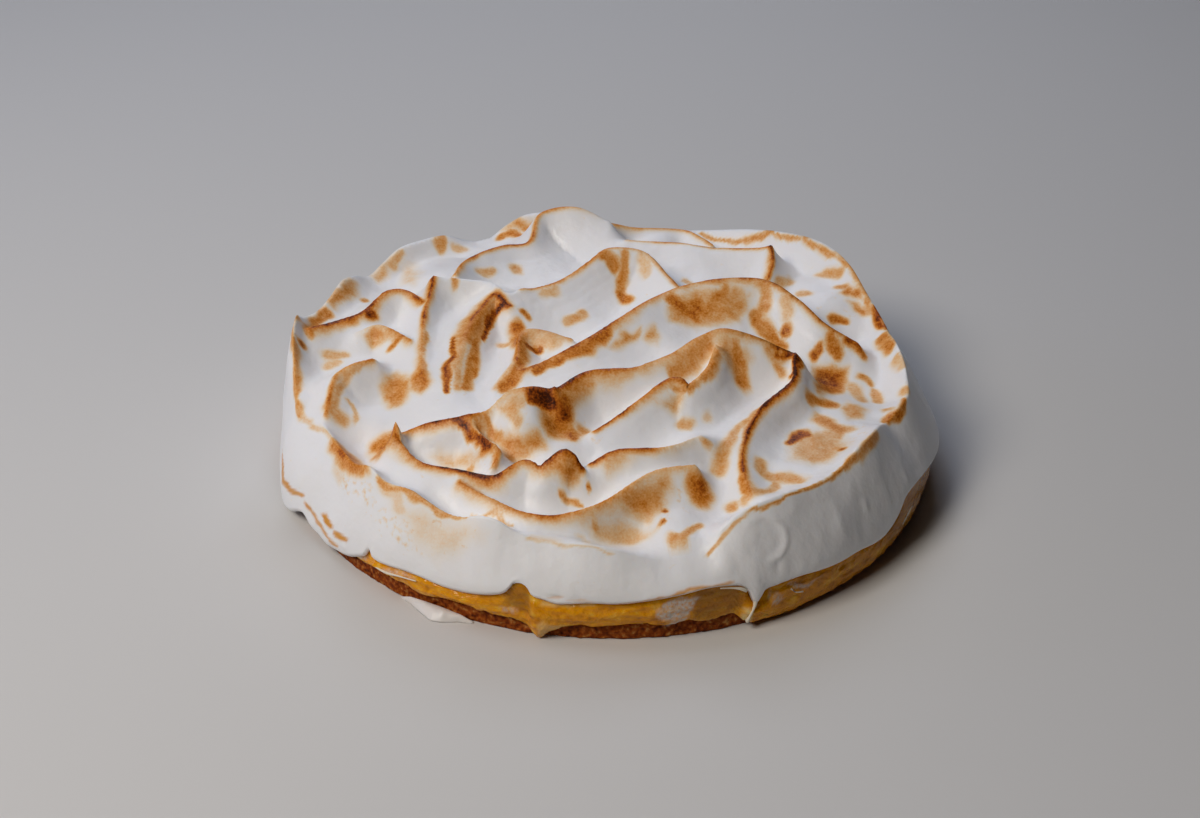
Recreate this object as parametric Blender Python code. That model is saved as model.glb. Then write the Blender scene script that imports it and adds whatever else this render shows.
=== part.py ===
"""Passion fruit pie under a spatula-swirled meringue, modelled in metres with +Z up.

The pie stands on z = 0 with its axis on the Z axis, and the side that is seen first faces -Y.
From the bottom up it is a thin biscuit crust, a layer of passion fruit curd that runs a little
down over the crust's edge, and a thick meringue whose skirt laps over the curd's edge.
"""

import math

import bpy
import numpy as np
from mathutils import Vector, geometry

MM = 0.001
GAP = 0.3  # clearance between two layers, mm

# Driving sizes, mm
CRUST_RADIUS = 123.9
CRUST_HEIGHT = 7.4
CRUST_SIDE = (  # the crust's side from foot to edge: inset, height, share of the roughness
    (0.4, 0.0, 0.5), (0.0, 1.6, 1.0), (0.2, 5.4, 1.0), (1.0, CRUST_HEIGHT, 0.5),
)
CRUST_ROUGHNESS = 0.45
CRUST_WOBBLE = 0.25
CRUST_WAVE = 9  # degrees between the wobble's random values
CURD_RADIUS = 124.9
CURD_TOP = 14.0
CURD_HIDDEN_BELOW = (8.0, 11.0)  # the curd shows fully where the skirt's edge is above the second
CURD_UNDERCUT = 0.4  # how far the curd's lower edge hangs below its underside
CURD_LAP = 0.4  # how far the shown curd stays below the skirt's edge
CURD_LEAST = 1.5  # the least height of curd that shows
CURD_LIP = (0.1, 0.5, 0.2)  # inset of the curd's lower lip where hidden, added where shown, its height
CURD_BELLY_SHARE = 0.45  # how far up the shown curd is widest
CURD_CORNER = (1.0, 0.5)  # heights below the joint of the curd's shoulder and side
SKIRT_RADIUS = 125.5  # inside of the meringue's skirt
JOINT_RINGS = (116.0, 106.0, 96.0)  # where the joint under the meringue bends up to the skirt
JOINT_COVER = 1.4  # the least thickness of meringue between the skirt's edge and the joint
JOINT_LOWEST = 12.6  # height of the joint at the rim where the skirt's edge hangs low
JOINT_EVENING = 5  # columns to each side over which the joint's height is evened
LIP_HEIGHT = 1.5  # the rounded lower lip of the skirt
LIP_TUCK = 1.2
SMEAR_ARC = (-126.0, -112.0)  # azimuths between which the fallen dab lies
SMEAR_DEPTH = (0.8, 6.0)  # at its ends and at its middle
SMEAR_HEIGHT = 3.6
SMEAR_END_HEIGHT = 0.5
SMEAR_FULLNESS = 0.6  # power of the swelling along the dab, lower is fuller
SMEAR_PROFILE = ((0.0, 0.0), (0.0, 0.7), (0.35, 1.0), (0.75, 0.6), (1.0, 0.0))  # depth, height

# Colours, linear red, green and blue
BISCUIT_BROWN = (0.20, 0.07, 0.02)
CURD_YELLOW = (0.66, 0.33, 0.02)
MERINGUE_WHITE = (0.80, 0.78, 0.76)

# Mesh spacing, mm, and the number of columns round the pie
COLUMNS = 160
TOP_SPACING = 5.6
CREST_SPACING = 3.8
STROKE_SPACING = 2.0  # samples of a stroke where heights are taken from it
CREST_FLANK = 3.2  # how far beside a crest its two rows of points run
FLANK_CLEARANCE = 2.4  # least distance of a flank point from other points
FIELD_CLEARANCE = 3.5  # least distance of a point between the folds from other points
RIM_CLEARANCE = 2.6  # least distance of any point from the rim
CREST_REACH = 109.0  # crests are edges of the mesh inside this radius
RIM_SAMPLES = 240
WALL_SHARES = (0.12, 0.3, 0.55, 0.8)  # how far down the wall its rings lie
SMEAR_ROWS = 14

# The top edge of the wall: azimuth in degrees from +X, radius and height
RIM = (
    (-175, 121.5, 58), (-170, 121.5, 52), (-165.5, 122, 45), (-161.5, 123.2, 39), (-158, 120.5, 40),
    (-154, 117.5, 41), (-149, 117, 40.5), (-145, 117, 39.5), (-141, 118, 39.5), (-136, 118, 43),
    (-132.5, 118, 40.5), (-127, 118, 42), (-123, 118, 40.5), (-118.5, 118, 38.3), (-115.5, 118, 38.5),
    (-112, 118, 41.3), (-108.5, 118, 41), (-105.5, 118, 37.8), (-101, 118, 36), (-94, 118, 35.8),
    (-89, 118, 34.2), (-84.5, 118, 31), (-81, 118, 29.2), (-77.5, 118, 29.6), (-73.5, 117.5, 31),
    (-70, 116, 37.5), (-66.5, 115.5, 42), (-62, 115, 44), (-57, 115, 44.3), (-51, 115, 43),
    (-44, 114.5, 43.5), (-37, 114, 47), (-31, 113.5, 47), (-27, 113, 45.5), (-23, 113, 42),
    (-18, 115.3, 43.5), (-13, 117.3, 44.5), (-9, 115.8, 48), (-3, 114.3, 49.5), (3, 112.8, 50),
    (8, 112.5, 48.5), (13, 113.5, 48), (21, 113, 52.5), (29, 113.5, 58.5), (38, 115, 60),
    (47, 115, 58.3), (57, 114, 54.5), (69, 112, 49.5), (83, 112, 47), (92, 112, 49.5), (99, 111, 54),
    (108, 112, 55), (113, 112, 51.5), (118, 112, 46), (123, 112, 48), (128, 113, 52.5),
    (134, 114, 53.5), (140, 115, 53.5), (145, 115, 50.5), (150, 115, 48.5), (155, 115, 53),
    (160, 115, 55.5), (166, 115, 54), (171, 117, 52.5), (176, 120, 55), (180, 121, 60),
)

# The outside of the meringue where its wall meets the skirt's lip: azimuth, radius and how full
# the wall is between rim and lip, from 1 for a straight slope
WALL_FOOT = (
    (-178, 127.5, 2.4), (-168, 129, 2.4), (-160, 131.5, 2.2), (-154, 130.5, 2.0),
    (-147, 128, 1.8), (-135, 127.2, 1.6), (-115, 127.2, 1.5), (-90, 127.6, 1.5),
    (-66, 128.4, 1.5), (-45, 128.4, 1.4), (-30, 128.2, 1.3), (-22, 129, 1.2), (-12, 130.8, 1.1),
    (0, 131, 1.1), (15, 130, 1.2), (40, 128, 1.5), (90, 127.5, 1.6), (135, 127.5, 1.8),
    (165, 127.5, 2.2),
)

# The curd's bulge under the skirt: azimuth, radius
CURD_BELLY = (
    (-170, 126.5), (-120, 126.5), (-105, 126), (-102, 127.8), (-99.5, 128), (-95, 126.8),
    (-84, 127), (-72, 126), (-66, 127.6), (-58, 127.4), (-40, 127.4), (-20, 127.8), (-5, 128.8),
    (8, 128.8), (30, 127.6), (90, 126.8), (150, 126.6),
)

# The lower edge of the meringue's skirt: azimuth, height
LOWER_EDGE = (
    (-176, 9), (-170, 6), (-165, 3.5), (-161, 2), (-157, 3.5), (-152, 9), (-147, 15.5), (-143, 15),
    (-138, 11.5), (-135, 11), (-132, 13.5), (-129, 11.5), (-125, 13.2), (-118, 13), (-113.5, 13.2),
    (-110, 14.3), (-107, 16), (-104, 21), (-101.8, 18), (-98, 15.8), (-93, 16.8), (-88, 16.8),
    (-84, 17.8), (-78, 19.5), (-74, 20.6), (-70, 20), (-66, 11), (-63, 15.8), (-57, 16.2),
    (-52, 15.2), (-45, 14.6), (-38, 12.6), (-34, 15), (-30, 20.5), (-25, 21.5), (-18, 20.5),
    (-10, 18.5), (0, 16), (30, 13), (60, 14), (90, 12), (120, 13), (150, 12), (170, 11),
)

# The lower edge of the curd, where it has run down over the crust: azimuth, height
CURD_EDGE = (
    (-170, 6), (-150, 6), (-139, 5), (-135, 8), (-126, 7.4), (-121.5, 6.6), (-117, 7.6),
    (-114, 8), (-107, 6.6), (-103.8, 5.7), (-101, 1.2), (-98.8, 1.2), (-97, 6.4), (-91, 6.8),
    (-86, 7.4), (-80, 7.6), (-75, 7.6), (-71, 6), (-69, 6.5), (-66.5, 1.6), (-60, 1.8), (-52, 2.4),
    (-40, 3), (-20, 4), (10, 5.5), (45, 6.5), (80, 5.5), (115, 6.5), (150, 6),
)

# The lowest places between the folds: x, y, z
HOLLOWS = (
    (-108, -18, 45), (-84, -38, 41), (-96, 24, 47), (-50, -40, 44), (-60, -74, 36),
    (-95, -62, 33), (-45, -101, 30), (0, -109, 27), (45, -100, 32), (-22, -72, 38),
    (5, -66, 41), (38, -52, 45), (10, -22, 47), (-20, -12, 46), (25, -88, 36),
    (74, -62, 41), (84, -30, 42), (98, -12, 38), (98, 20, 41), (80, 40, 46),
    (-46, 0, 47), (-84, 6, 46), (30, 8, 51), (0, 28, 50), (-20, 50, 50),
    (-36, 84, 47), (-78, 58, 45), (20, 62, 50), (78, 62, 49), (50, 92, 44),
    (0, 100, 42), (-2, 75, 50), (-100, -4, 47), (60, -92, 38),
)
HOLLOW_REACH = 17.0  # how far a hollow's height carries, mm

# Each fold's crest: name, width of its right and left slopes, lean of the lip to the left,
# and the points (x, y, z) along the spatula's stroke
CRESTS = (
    ("left hook", 16, 12, 1.0, (
        (-104, -47, 44), (-103, -36, 49), (-101, -29, 51), (-96, -25, 53), (-89, -21, 53))),
    ("left wave", 16, 18, 1.5, (
        (-115, -2, 55), (-106, 6, 54), (-96, 12, 55), (-88, 24, 58), (-80, 25, 58), (-74, 17, 55))),
    ("left leaf", 9, 12, 1.0, ((-97, 1, 52), (-89, 3, 54), (-77, -7, 53))),
    ("upright fold", 20, 22, 0.0, ((-70, 29, 62), (-72, 12, 58), (-72, -4, 54), (-71, -24, 49))),
    ("upright fold top", 14, 12, 0.0, (
        (-70, 29, 62), (-60, 30, 62), (-48, 29, 61), (-40, 22, 59), (-34, 25, 59))),
    ("curled fold", 26, 13, 1.0, (
        (-39, 17, 57), (-46, 22, 59), (-52, 12, 57), (-56, 1, 55), (-59, -18, 51), (-59, -34, 46))),
    ("small spur", 10, 10, 1.5, ((-42, -32, 47), (-34, -18, 52), (-32, 0, 55), (-15, -3, 53))),
    ("back sail", 30, 12, 0.0, (
        (-35, 25, 59), (-20, 33, 60), (-8, 44, 64), (0, 51, 66), (14, 51, 65), (22, 39, 62),
        (29, 27, 60))),
    ("long fold", 26, 14, 1.5, (
        (-32, -25, 50), (-12, -12, 55), (6, 4, 59), (24, 21, 62), (42, 27, 64), (61, 28, 64),
        (74, 18, 61), (84, 8, 56), (97, 3, 50))),
    ("middle fold, left", 12, 12, 2.0, (
        (-77, -62, 43), (-66, -61, 48), (-52, -61, 52), (-43, -58, 53), (-36, -53, 57),
        (-28, -52, 59), (-19, -51, 57))),
    ("middle fold", 20, 12, 2.5, (
        (-19, -51, 57), (-8, -39, 58), (10, -35, 58), (24, -28, 60), (36, -20, 64), (44, -18, 66),
        (57, -18, 62), (72, -20, 56))),
    ("middle fold, tail", 14, 10, -2.0, (
        (72, -20, 56), (71, -32, 53), (60, -45, 50), (52, -61, 46), (50, -76, 43), (52, -88, 40))),
    ("lip", 10, 12, 1.5, ((-50, -63, 49), (-45, -71, 49), (-40, -77, 48), (-42, -81, 44))),
    ("near sail", 16, 10, 2.0, (
        (-4, -61, 46), (10, -51, 52), (24, -40, 57), (30, -42, 55), (38, -34, 58), (42, -24, 63))),
    ("low fold", 12, 9, 1.5, ((-6, -80, 44), (4, -77, 48), (20, -75, 48), (34, -67, 48))),
    ("wave", 15, 9, 2.5, (
        (-78, -68, 45), (-68, -79, 43), (-52, -85, 43), (-40, -88, 43), (-30, -84, 47),
        (-24, -86, 46), (-15, -82, 51), (-10, -84, 45))),
    ("near fold", 11, 12, 1.0, (
        (-53, -89, 41), (-42, -97, 40), (-28, -104, 38.5), (-12, -104, 39), (2, -97, 42),
        (16, -86, 45), (31, -82, 46))),
    ("back peak", 24, 16, 0.0, (
        (-62, 38, 60), (-58, 54, 59), (-45, 68, 58), (-33, 74, 58), (-29, 90, 63), (-14, 93, 65),
        (0, 90, 60))),
    ("back ledge", 22, 14, 0.0, ((8, 80, 56), (26, 77, 57), (45, 72, 57), (66, 67, 60))),
    ("back tip", 12, 12, 1.0, ((67, 68, 60), (67, 58, 57), (64, 50, 52))),
    ("back strand", 12, 10, 0.0, ((0, 96, 56), (16, 100, 52), (34, 100, 51), (44, 84, 53))),
    ("horn", 8, 8, 0.0, ((-79, -68, 45), (-77, -66, 52))),
)

# Rounded swellings without a crest: x, y, height of the top, width
SWELLS = (
    (-31, -57, 55, 16), (-58, 4, 52, 14), (-20, -64, 45, 16), (-66, 58, 51, 22),
    (20, 98, 50, 14), (96, 44, 51, 24),
)

RIM_SLOPE = 12.0  # width of the rim's inner slope, mm
CREST_ROUND = 1.4  # radius that blunts a crest, mm
DOMES = {"curled fold": 4.0, "back sail": 1.6}  # the same for the folds with a rounder crest, mm
VALLEY_BLEND = 2.2  # how softly two slopes run into each other, mm
LIP_DROP = 5.0  # the part of a crest below its top that leans with it, mm
LOW_CREST = 4.0  # crests lower than this above the valley lean less, mm


def periodic(table, azimuths):
    """The smooth closed curve through rows of (azimuth, value, ...), read at other azimuths."""
    rows = sorted(tuple(float(value) for value in row) for row in table)
    knots = np.array([rows[-2], rows[-1], *rows, rows[0], rows[1]])
    knots[:2, 0] -= 360.0
    knots[-2:, 0] += 360.0
    at = (np.asarray(azimuths, float) + 180.0) % 360.0 - 180.0
    k = np.clip(np.searchsorted(knots[:, 0], at, side="right") - 1, 1, len(knots) - 3)
    span = knots[k + 1, 0] - knots[k, 0]
    t = ((at - knots[k, 0]) / span)[:, None]

    def slope(i):
        rise = knots[i + 1, 1:] - knots[i - 1, 1:]
        return rise / (knots[i + 1, 0] - knots[i - 1, 0])[:, None]

    a, b = knots[k, 1:], knots[k + 1, 1:]
    da, db = slope(k) * span[:, None], slope(k + 1) * span[:, None]
    return (
        a * (2 * t**3 - 3 * t**2 + 1)
        + b * (3 * t**2 - 2 * t**3)
        + da * (t**3 - 2 * t**2 + t)
        + db * (t**3 - t**2)
    )


def smooth_stroke(points, spacing):
    """Catmull-Rom curve through the points, with samples about spacing apart."""
    knots = np.array(points, float)
    knots = np.vstack([2 * knots[0] - knots[1], knots, 2 * knots[-1] - knots[-2]])
    samples = []
    for p0, p1, p2, p3 in zip(knots, knots[1:], knots[2:], knots[3:]):
        count = max(1, round(math.dist(p1[:2], p2[:2]) / spacing))
        for t in np.arange(count) / count:
            bend = (2 * p0 - 5 * p1 + 4 * p2 - p3) * t**2 + (3 * p1 - p0 - 3 * p2 + p3) * t**3
            samples.append(0.5 * (2 * p1 + (p2 - p0) * t + bend))
    samples.append(knots[-2])
    return np.array(samples)


def floor_height(x, y):
    """Height of the valleys between the folds: the hollows' heights, blended by distance."""
    total = np.zeros(len(x))
    weights = np.zeros(len(x))
    for hx, hy, hz in HOLLOWS:
        weight = 1.0 / (1.0 + ((x - hx) ** 2 + (y - hy) ** 2) / HOLLOW_REACH**2) ** 3
        total += weight * hz
        weights += weight
    return total / weights


def nearest_on(stroke, x, y):
    """For each (x, y): distance to the stroke, the side it lies on (1 left, -1 right, between them
    past the ends), height there, the direction to its left and the nearest point."""
    a, b = stroke[:-1], stroke[1:]
    run = b[:, :2] - a[:, :2]
    length = np.maximum(np.hypot(run[:, 0], run[:, 1]), 1e-9)
    px = x[:, None] - a[:, 0]
    py = y[:, None] - a[:, 1]
    t = np.clip((px * run[:, 0] + py * run[:, 1]) / length**2, 0.0, 1.0)
    dx = px - t * run[:, 0]
    dy = py - t * run[:, 1]
    k = np.argmin(dx**2 + dy**2, axis=1)
    row = np.arange(len(x))
    t, dx, dy = t[row, k], dx[row, k], dy[row, k]
    distance = np.hypot(dx, dy)
    across = (run[k, 0] * dy - run[k, 1] * dx) / length[k]
    side = np.clip(across / np.maximum(distance, 1e-9), -1.0, 1.0)
    height = a[k, 2] + t * (b[k, 2] - a[k, 2])
    left = np.stack([-run[k, 1], run[k, 0]], 1) / length[k, None]
    foot = np.stack([x - dx, y - dy], 1)
    return distance, side, height, left, foot


def rim_points(count):
    azimuths = -180.0 + 360.0 * np.arange(count) / count
    radius, height = periodic(RIM, azimuths).T
    angle = np.radians(azimuths)
    return np.stack([radius * np.cos(angle), radius * np.sin(angle), height], 1)


def meringue_top(x, y):
    """The meringue's upper surface as points (x, y, z), with the lips of the folds leaning over."""
    floor = floor_height(x, y)
    closed_rim = rim_points(RIM_SAMPLES)
    closed_rim = np.vstack([closed_rim, closed_rim[:1]])
    strokes = [(RIM_SLOPE, RIM_SLOPE, 0.0, CREST_ROUND, closed_rim)]
    for name, right, left, lean, points in CRESTS:
        stroke = smooth_stroke(points, STROKE_SPACING)
        strokes.append((right, left, lean, DOMES.get(name, CREST_ROUND), stroke))
    stacked = np.zeros(len(x))
    shift = np.zeros((len(x), 2))
    pull = np.zeros(len(x))
    for right, left, lean, roundness, stroke in strokes:
        distance, side, height, normal, foot = nearest_on(stroke, x, y)
        width = right + (left - right) * (1.0 + side) / 2
        blunt = np.sqrt(distance**2 + roundness**2) - roundness
        rise = height - floor_height(foot[:, 0], foot[:, 1])
        relief = rise * np.clip(1.0 - blunt / width, 0.0, 1.0) ** 2
        stacked += np.exp(np.clip(relief / VALLEY_BLEND, -30.0, 30.0)) - 1.0
        near = np.clip(1.0 - (rise - relief) / LIP_DROP, 0.0, 1.0) ** 2
        near *= np.clip(rise / LOW_CREST, 0.0, 1.0)
        shift += (near * lean)[:, None] * normal
        pull += near
    for swell_x, swell_y, top, width in SWELLS:
        spot = floor_height(np.array([swell_x]), np.array([swell_y]))[0]
        away = ((x - swell_x) ** 2 + (y - swell_y) ** 2) / width**2
        relief = (top - spot) * np.clip(1.0 - away, 0.0, 1.0)
        stacked += np.exp(relief / VALLEY_BLEND) - 1.0
    z = floor + VALLEY_BLEND * np.log1p(np.maximum(stacked, 0.0))
    shift /= np.maximum(pull, 1.0)[:, None]
    return np.stack([x + shift[:, 0], y + shift[:, 1], z], 1)


def azimuths():
    """One azimuth for each column of points round the pie."""
    return -180.0 + 360.0 * np.arange(COLUMNS) / COLUMNS


def ring(radius, height):
    """A ring of points; radius and height are one number or one for each column."""
    angle = np.radians(azimuths())
    return np.stack([radius * np.cos(angle), radius * np.sin(angle), height + 0.0 * angle], 1)


class Shell:
    """Points and faces of one closed surface, gathered ring by ring."""

    def __init__(self):
        self.points = []
        self.faces = []

    def add(self, points):
        start = len(self.points)
        self.points.extend(map(tuple, points))
        return list(range(start, start + len(points)))

    def bridge(self, inner, outer):
        """Quads between two rings; seen from the side they face, outer is above."""
        for k in range(len(inner)):
            n = (k + 1) % len(inner)
            self.faces.append((inner[k], inner[n], outer[n], outer[k]))

    def fan(self, ring_indices, centre, facing_up):
        hub = self.add([centre])[0]
        count = len(ring_indices)
        for k in range(count):
            a, b = ring_indices[k], ring_indices[(k + 1) % count]
            self.faces.append((a, b, hub) if facing_up else (b, a, hub))

    def build(self, name, material):
        mesh = bpy.data.meshes.new(name)
        mesh.from_pydata([Vector(p) * MM for p in self.points], [], self.faces)
        mesh.update()
        mesh.shade_smooth()
        mesh.materials.append(material)
        solid = bpy.data.objects.new(name, mesh)
        bpy.context.collection.objects.link(solid)
        return solid


def material(name, colour, roughness):
    made = bpy.data.materials.new(name)
    made.use_nodes = True
    shader = made.node_tree.nodes["Principled BSDF"]
    shader.inputs["Base Color"].default_value = (*colour, 1.0)
    shader.inputs["Roughness"].default_value = roughness
    shader.inputs["Metallic"].default_value = 0.0
    return made


def skirt_edge():
    """Height of the meringue's lower edge in each column."""
    return periodic(LOWER_EDGE, azimuths())[:, 0]


def layer_joint(radius):
    """Height of the joint between curd and meringue: level inside, and above the skirt at the rim."""
    reach = range(-JOINT_EVENING, JOINT_EVENING + 1)
    raised = np.max([np.roll(skirt_edge(), k) for k in reach], axis=0)
    evened = np.mean([np.roll(raised, k) for k in reach], axis=0)
    at_edge = np.maximum(evened + JOINT_COVER, JOINT_LOWEST)
    level = JOINT_RINGS[-1]
    blend = np.clip((radius - level) / (CURD_RADIUS - level), 0.0, 1.0)
    blend = blend * blend * (3.0 - 2.0 * blend)
    return CURD_TOP + (at_edge - CURD_TOP) * blend


def make_crust():
    rng = np.random.default_rng(7)
    shell = Shell()
    waves = [(azimuth, rng.uniform(-1, 1)) for azimuth in range(-180, 180, CRUST_WAVE)]
    wobble = CRUST_WOBBLE * np.clip(periodic(waves, azimuths())[:, 0], -1, 1)

    def crumbly(radius, height, rough):
        jitter = rng.uniform(-1, 1, COLUMNS) * CRUST_ROUGHNESS * rough
        return ring(radius + jitter + wobble, height)

    loops = [
        shell.add(crumbly(CRUST_RADIUS - inset, height, rough)) for inset, height, rough in CRUST_SIDE
    ]
    for lower, upper in zip(loops, loops[1:]):
        shell.bridge(lower, upper)
    shell.fan(loops[-1], (0.0, 0.0, CRUST_HEIGHT), True)
    shell.fan(loops[0], (0.0, 0.0, 0.0), False)
    return shell.build("biscuit_crust", material("baked biscuit", BISCUIT_BROWN, 0.8))


def make_curd():
    """The curd fills the crust and bulges out under the skirt, except where the skirt hides it."""
    shell = Shell()
    underside = CRUST_HEIGHT + GAP
    skirt = skirt_edge()
    lowest_near = np.minimum(skirt, np.minimum(np.roll(skirt, 1), np.roll(skirt, -1)))
    hidden, open_above = CURD_HIDDEN_BELOW
    shown = np.clip((lowest_near - hidden) / (open_above - hidden), 0.0, 1.0)
    hidden_low = underside - CURD_UNDERCUT
    low = hidden_low + (periodic(CURD_EDGE, azimuths())[:, 0] - hidden_low) * shown
    hidden_belly = SKIRT_RADIUS - GAP
    belly = hidden_belly + (periodic(CURD_BELLY, azimuths())[:, 0] - hidden_belly) * shown
    shown_top = np.maximum(lowest_near - CURD_LAP, low + CURD_LEAST)
    joint = layer_joint(CURD_RADIUS) - GAP / 2
    inset, shown_inset, apron_rise = CURD_LIP
    shoulder_drop, side_drop = CURD_CORNER
    corner = shell.add(ring(CURD_RADIUS, underside))
    apron = shell.add(ring(CURD_RADIUS, low + apron_rise))
    lip = shell.add(ring(belly - inset - shown_inset * shown, low))
    middle = shell.add(ring(belly, low + CURD_BELLY_SHARE * (shown_top - low)))
    shoulder = shell.add(ring(CURD_RADIUS, np.minimum(shown_top, joint - shoulder_drop)))
    side = shell.add(ring(CURD_RADIUS, joint - side_drop))
    top_radii = (CURD_RADIUS - side_drop, *JOINT_RINGS)
    tops = [shell.add(ring(radius, layer_joint(radius) - GAP / 2)) for radius in top_radii]
    loops = [corner, apron, lip, middle, shoulder, side, *tops]
    for lower, upper in zip(loops, loops[1:]):
        shell.bridge(lower, upper)
    shell.fan(tops[-1], (0.0, 0.0, CURD_TOP - GAP / 2), True)
    shell.fan(corner, (0.0, 0.0, underside), False)
    return shell.build("passion_fruit_curd", material("fruit curd", CURD_YELLOW, 0.2))


def azimuth_of(spot):
    return math.degrees(math.atan2(spot[1], spot[0]))


def top_mesh(rim):
    """Triangles over the inside of the rim, with an edge along every crest."""
    fixed = [tuple(p[:2]) for p in rim]
    edges = [(k, (k + 1) % len(rim)) for k in range(len(rim))]
    flanks = []
    for _, _, _, _, points in CRESTS:
        stroke = smooth_stroke(points, CREST_SPACING)
        stroke = stroke[np.hypot(stroke[:, 0], stroke[:, 1]) < CREST_REACH]
        start = len(fixed)
        fixed.extend(tuple(p[:2]) for p in stroke)
        edges.extend((start + k, start + k + 1) for k in range(len(stroke) - 1))
        run = np.gradient(stroke[:, :2], axis=0)
        across = np.stack([-run[:, 1], run[:, 0]], 1) / np.hypot(*run.T)[:, None]
        flanks.extend(stroke[:, :2] + CREST_FLANK * across)
        flanks.extend(stroke[:, :2] - CREST_FLANK * across)
    flanks.extend(np.array(rim)[:, :2] * (1.0 - CREST_FLANK / CRUST_RADIUS))

    def add_where_free(spots, clearance):
        """Adds each spot that keeps its distance from the rim and from the points already there."""
        for spot in spots:
            inside = np.hypot(*spot) < periodic(RIM, [azimuth_of(spot)])[0, 0] - RIM_CLEARANCE
            if inside and np.min(np.hypot(*(np.array(fixed) - spot).T)) > clearance:
                fixed.append(tuple(spot))

    add_where_free(flanks, FLANK_CLEARANCE)
    reach = math.ceil(SKIRT_RADIUS / TOP_SPACING)
    add_where_free(
        [
            np.array([(column + 0.5 * (row % 2)) * TOP_SPACING, row * TOP_SPACING * math.sqrt(0.75)])
            for row in range(-reach, reach + 1)
            for column in range(-reach, reach + 1)
        ],
        FIELD_CLEARANCE,
    )
    inside_rim = geometry.delaunay_2d_cdt(
        [Vector(p) for p in fixed], edges, [list(range(len(rim)))], 2, 1e-5
    )
    return inside_rim[0], inside_rim[2], inside_rim[3]


def make_meringue():
    shell = Shell()
    low = skirt_edge()
    rim = rim_points(COLUMNS)
    rim_radius = np.hypot(rim[:, 0], rim[:, 1])
    spots, triangles, origins = top_mesh(rim)
    flat = np.array([tuple(spot) for spot in spots])
    top = meringue_top(flat[:, 0], flat[:, 1])
    column_of = {k: source for k, sources in enumerate(origins) for source in sources}
    column_of = {k: source for k, source in column_of.items() if source < COLUMNS}
    for k, column in column_of.items():
        top[k] = rim[column]
    indices = shell.add(top)
    rim_indices = [0] * COLUMNS
    for k, column in column_of.items():
        rim_indices[column] = indices[k]
    for triangle in triangles:
        a, b, c = (flat[k] for k in triangle)
        turned = (b[0] - a[0]) * (c[1] - a[1]) - (b[1] - a[1]) * (c[0] - a[0])
        order = triangle if turned > 0 else triangle[::-1]
        shell.faces.append(tuple(indices[k] for k in order))

    outer, fullness = periodic(WALL_FOOT, azimuths()).T
    above = rim_indices
    for share in WALL_SHARES:
        radius = outer - (outer - rim_radius) * (1.0 - share) ** fullness
        height = rim[:, 2] + (low + LIP_HEIGHT - rim[:, 2]) * share
        below = shell.add(ring(radius, height))
        shell.bridge(below, above)
        above = below
    lip = shell.add(ring(outer, low + LIP_HEIGHT))
    shell.bridge(lip, above)
    tuck = shell.add(ring(outer - LIP_TUCK, low))
    shell.bridge(tuck, lip)
    inner = shell.add(ring(SKIRT_RADIUS, low))
    shell.bridge(inner, tuck)
    above = shell.add(ring(SKIRT_RADIUS, layer_joint(CURD_RADIUS) + GAP / 2))
    shell.bridge(above, inner)
    for radius in JOINT_RINGS:
        inwards = shell.add(ring(radius, layer_joint(radius) + GAP / 2))
        shell.bridge(inwards, above)
        above = inwards
    shell.fan(above, (0.0, 0.0, CURD_TOP + GAP / 2), False)
    return shell.build("meringue", material("torched meringue", MERINGUE_WHITE, 0.5))


def make_smear():
    """A dab of meringue that fell at the crust's foot and lies on the level the pie stands on."""
    shell = Shell()
    along = np.linspace(*SMEAR_ARC, SMEAR_ROWS)
    swell = np.sin(np.linspace(0.0, math.pi, SMEAR_ROWS)) ** SMEAR_FULLNESS
    inner = CRUST_RADIUS + CRUST_ROUGHNESS + 2 * GAP
    loops = []
    for azimuth, size in zip(np.radians(along), swell):
        depth = SMEAR_DEPTH[0] + (SMEAR_DEPTH[1] - SMEAR_DEPTH[0]) * size
        height = SMEAR_END_HEIGHT + (SMEAR_HEIGHT - SMEAR_END_HEIGHT) * size
        section = [(inner + depth * out, height * up) for out, up in SMEAR_PROFILE]
        loops.append(
            shell.add([(r * math.cos(azimuth), r * math.sin(azimuth), z) for r, z in section])
        )
    for here, there in zip(loops, loops[1:]):
        shell.bridge(here, there)
    shell.faces.append(tuple(reversed(loops[0])))
    shell.faces.append(tuple(loops[-1]))
    return shell.build("meringue_smear", material("fallen meringue", MERINGUE_WHITE, 0.5))


for old in list(bpy.data.objects):
    bpy.data.objects.remove(old)

make_crust()
make_curd()
make_meringue()
make_smear()
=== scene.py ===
# %% [markdown]
# # A torched meringue pie
#
# This lesson dresses a passion fruit pie. From the bottom up the real one is a thin crust of pressed
# biscuit crumbs, a layer of glossy fruit curd and a thick cap of whipped meringue, which a spatula
# pulled into folds and a gas torch browned along the crests.
# The solids of the pie are loaded first as a fixed frame. Each layer then gets a finer mesh and a
# finish of its own, in the same place and at the same size.

# %% Load the frame
import math
from functools import partial

import bpy
import numpy as np
from mathutils import Matrix, Vector, geometry, kdtree


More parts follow.
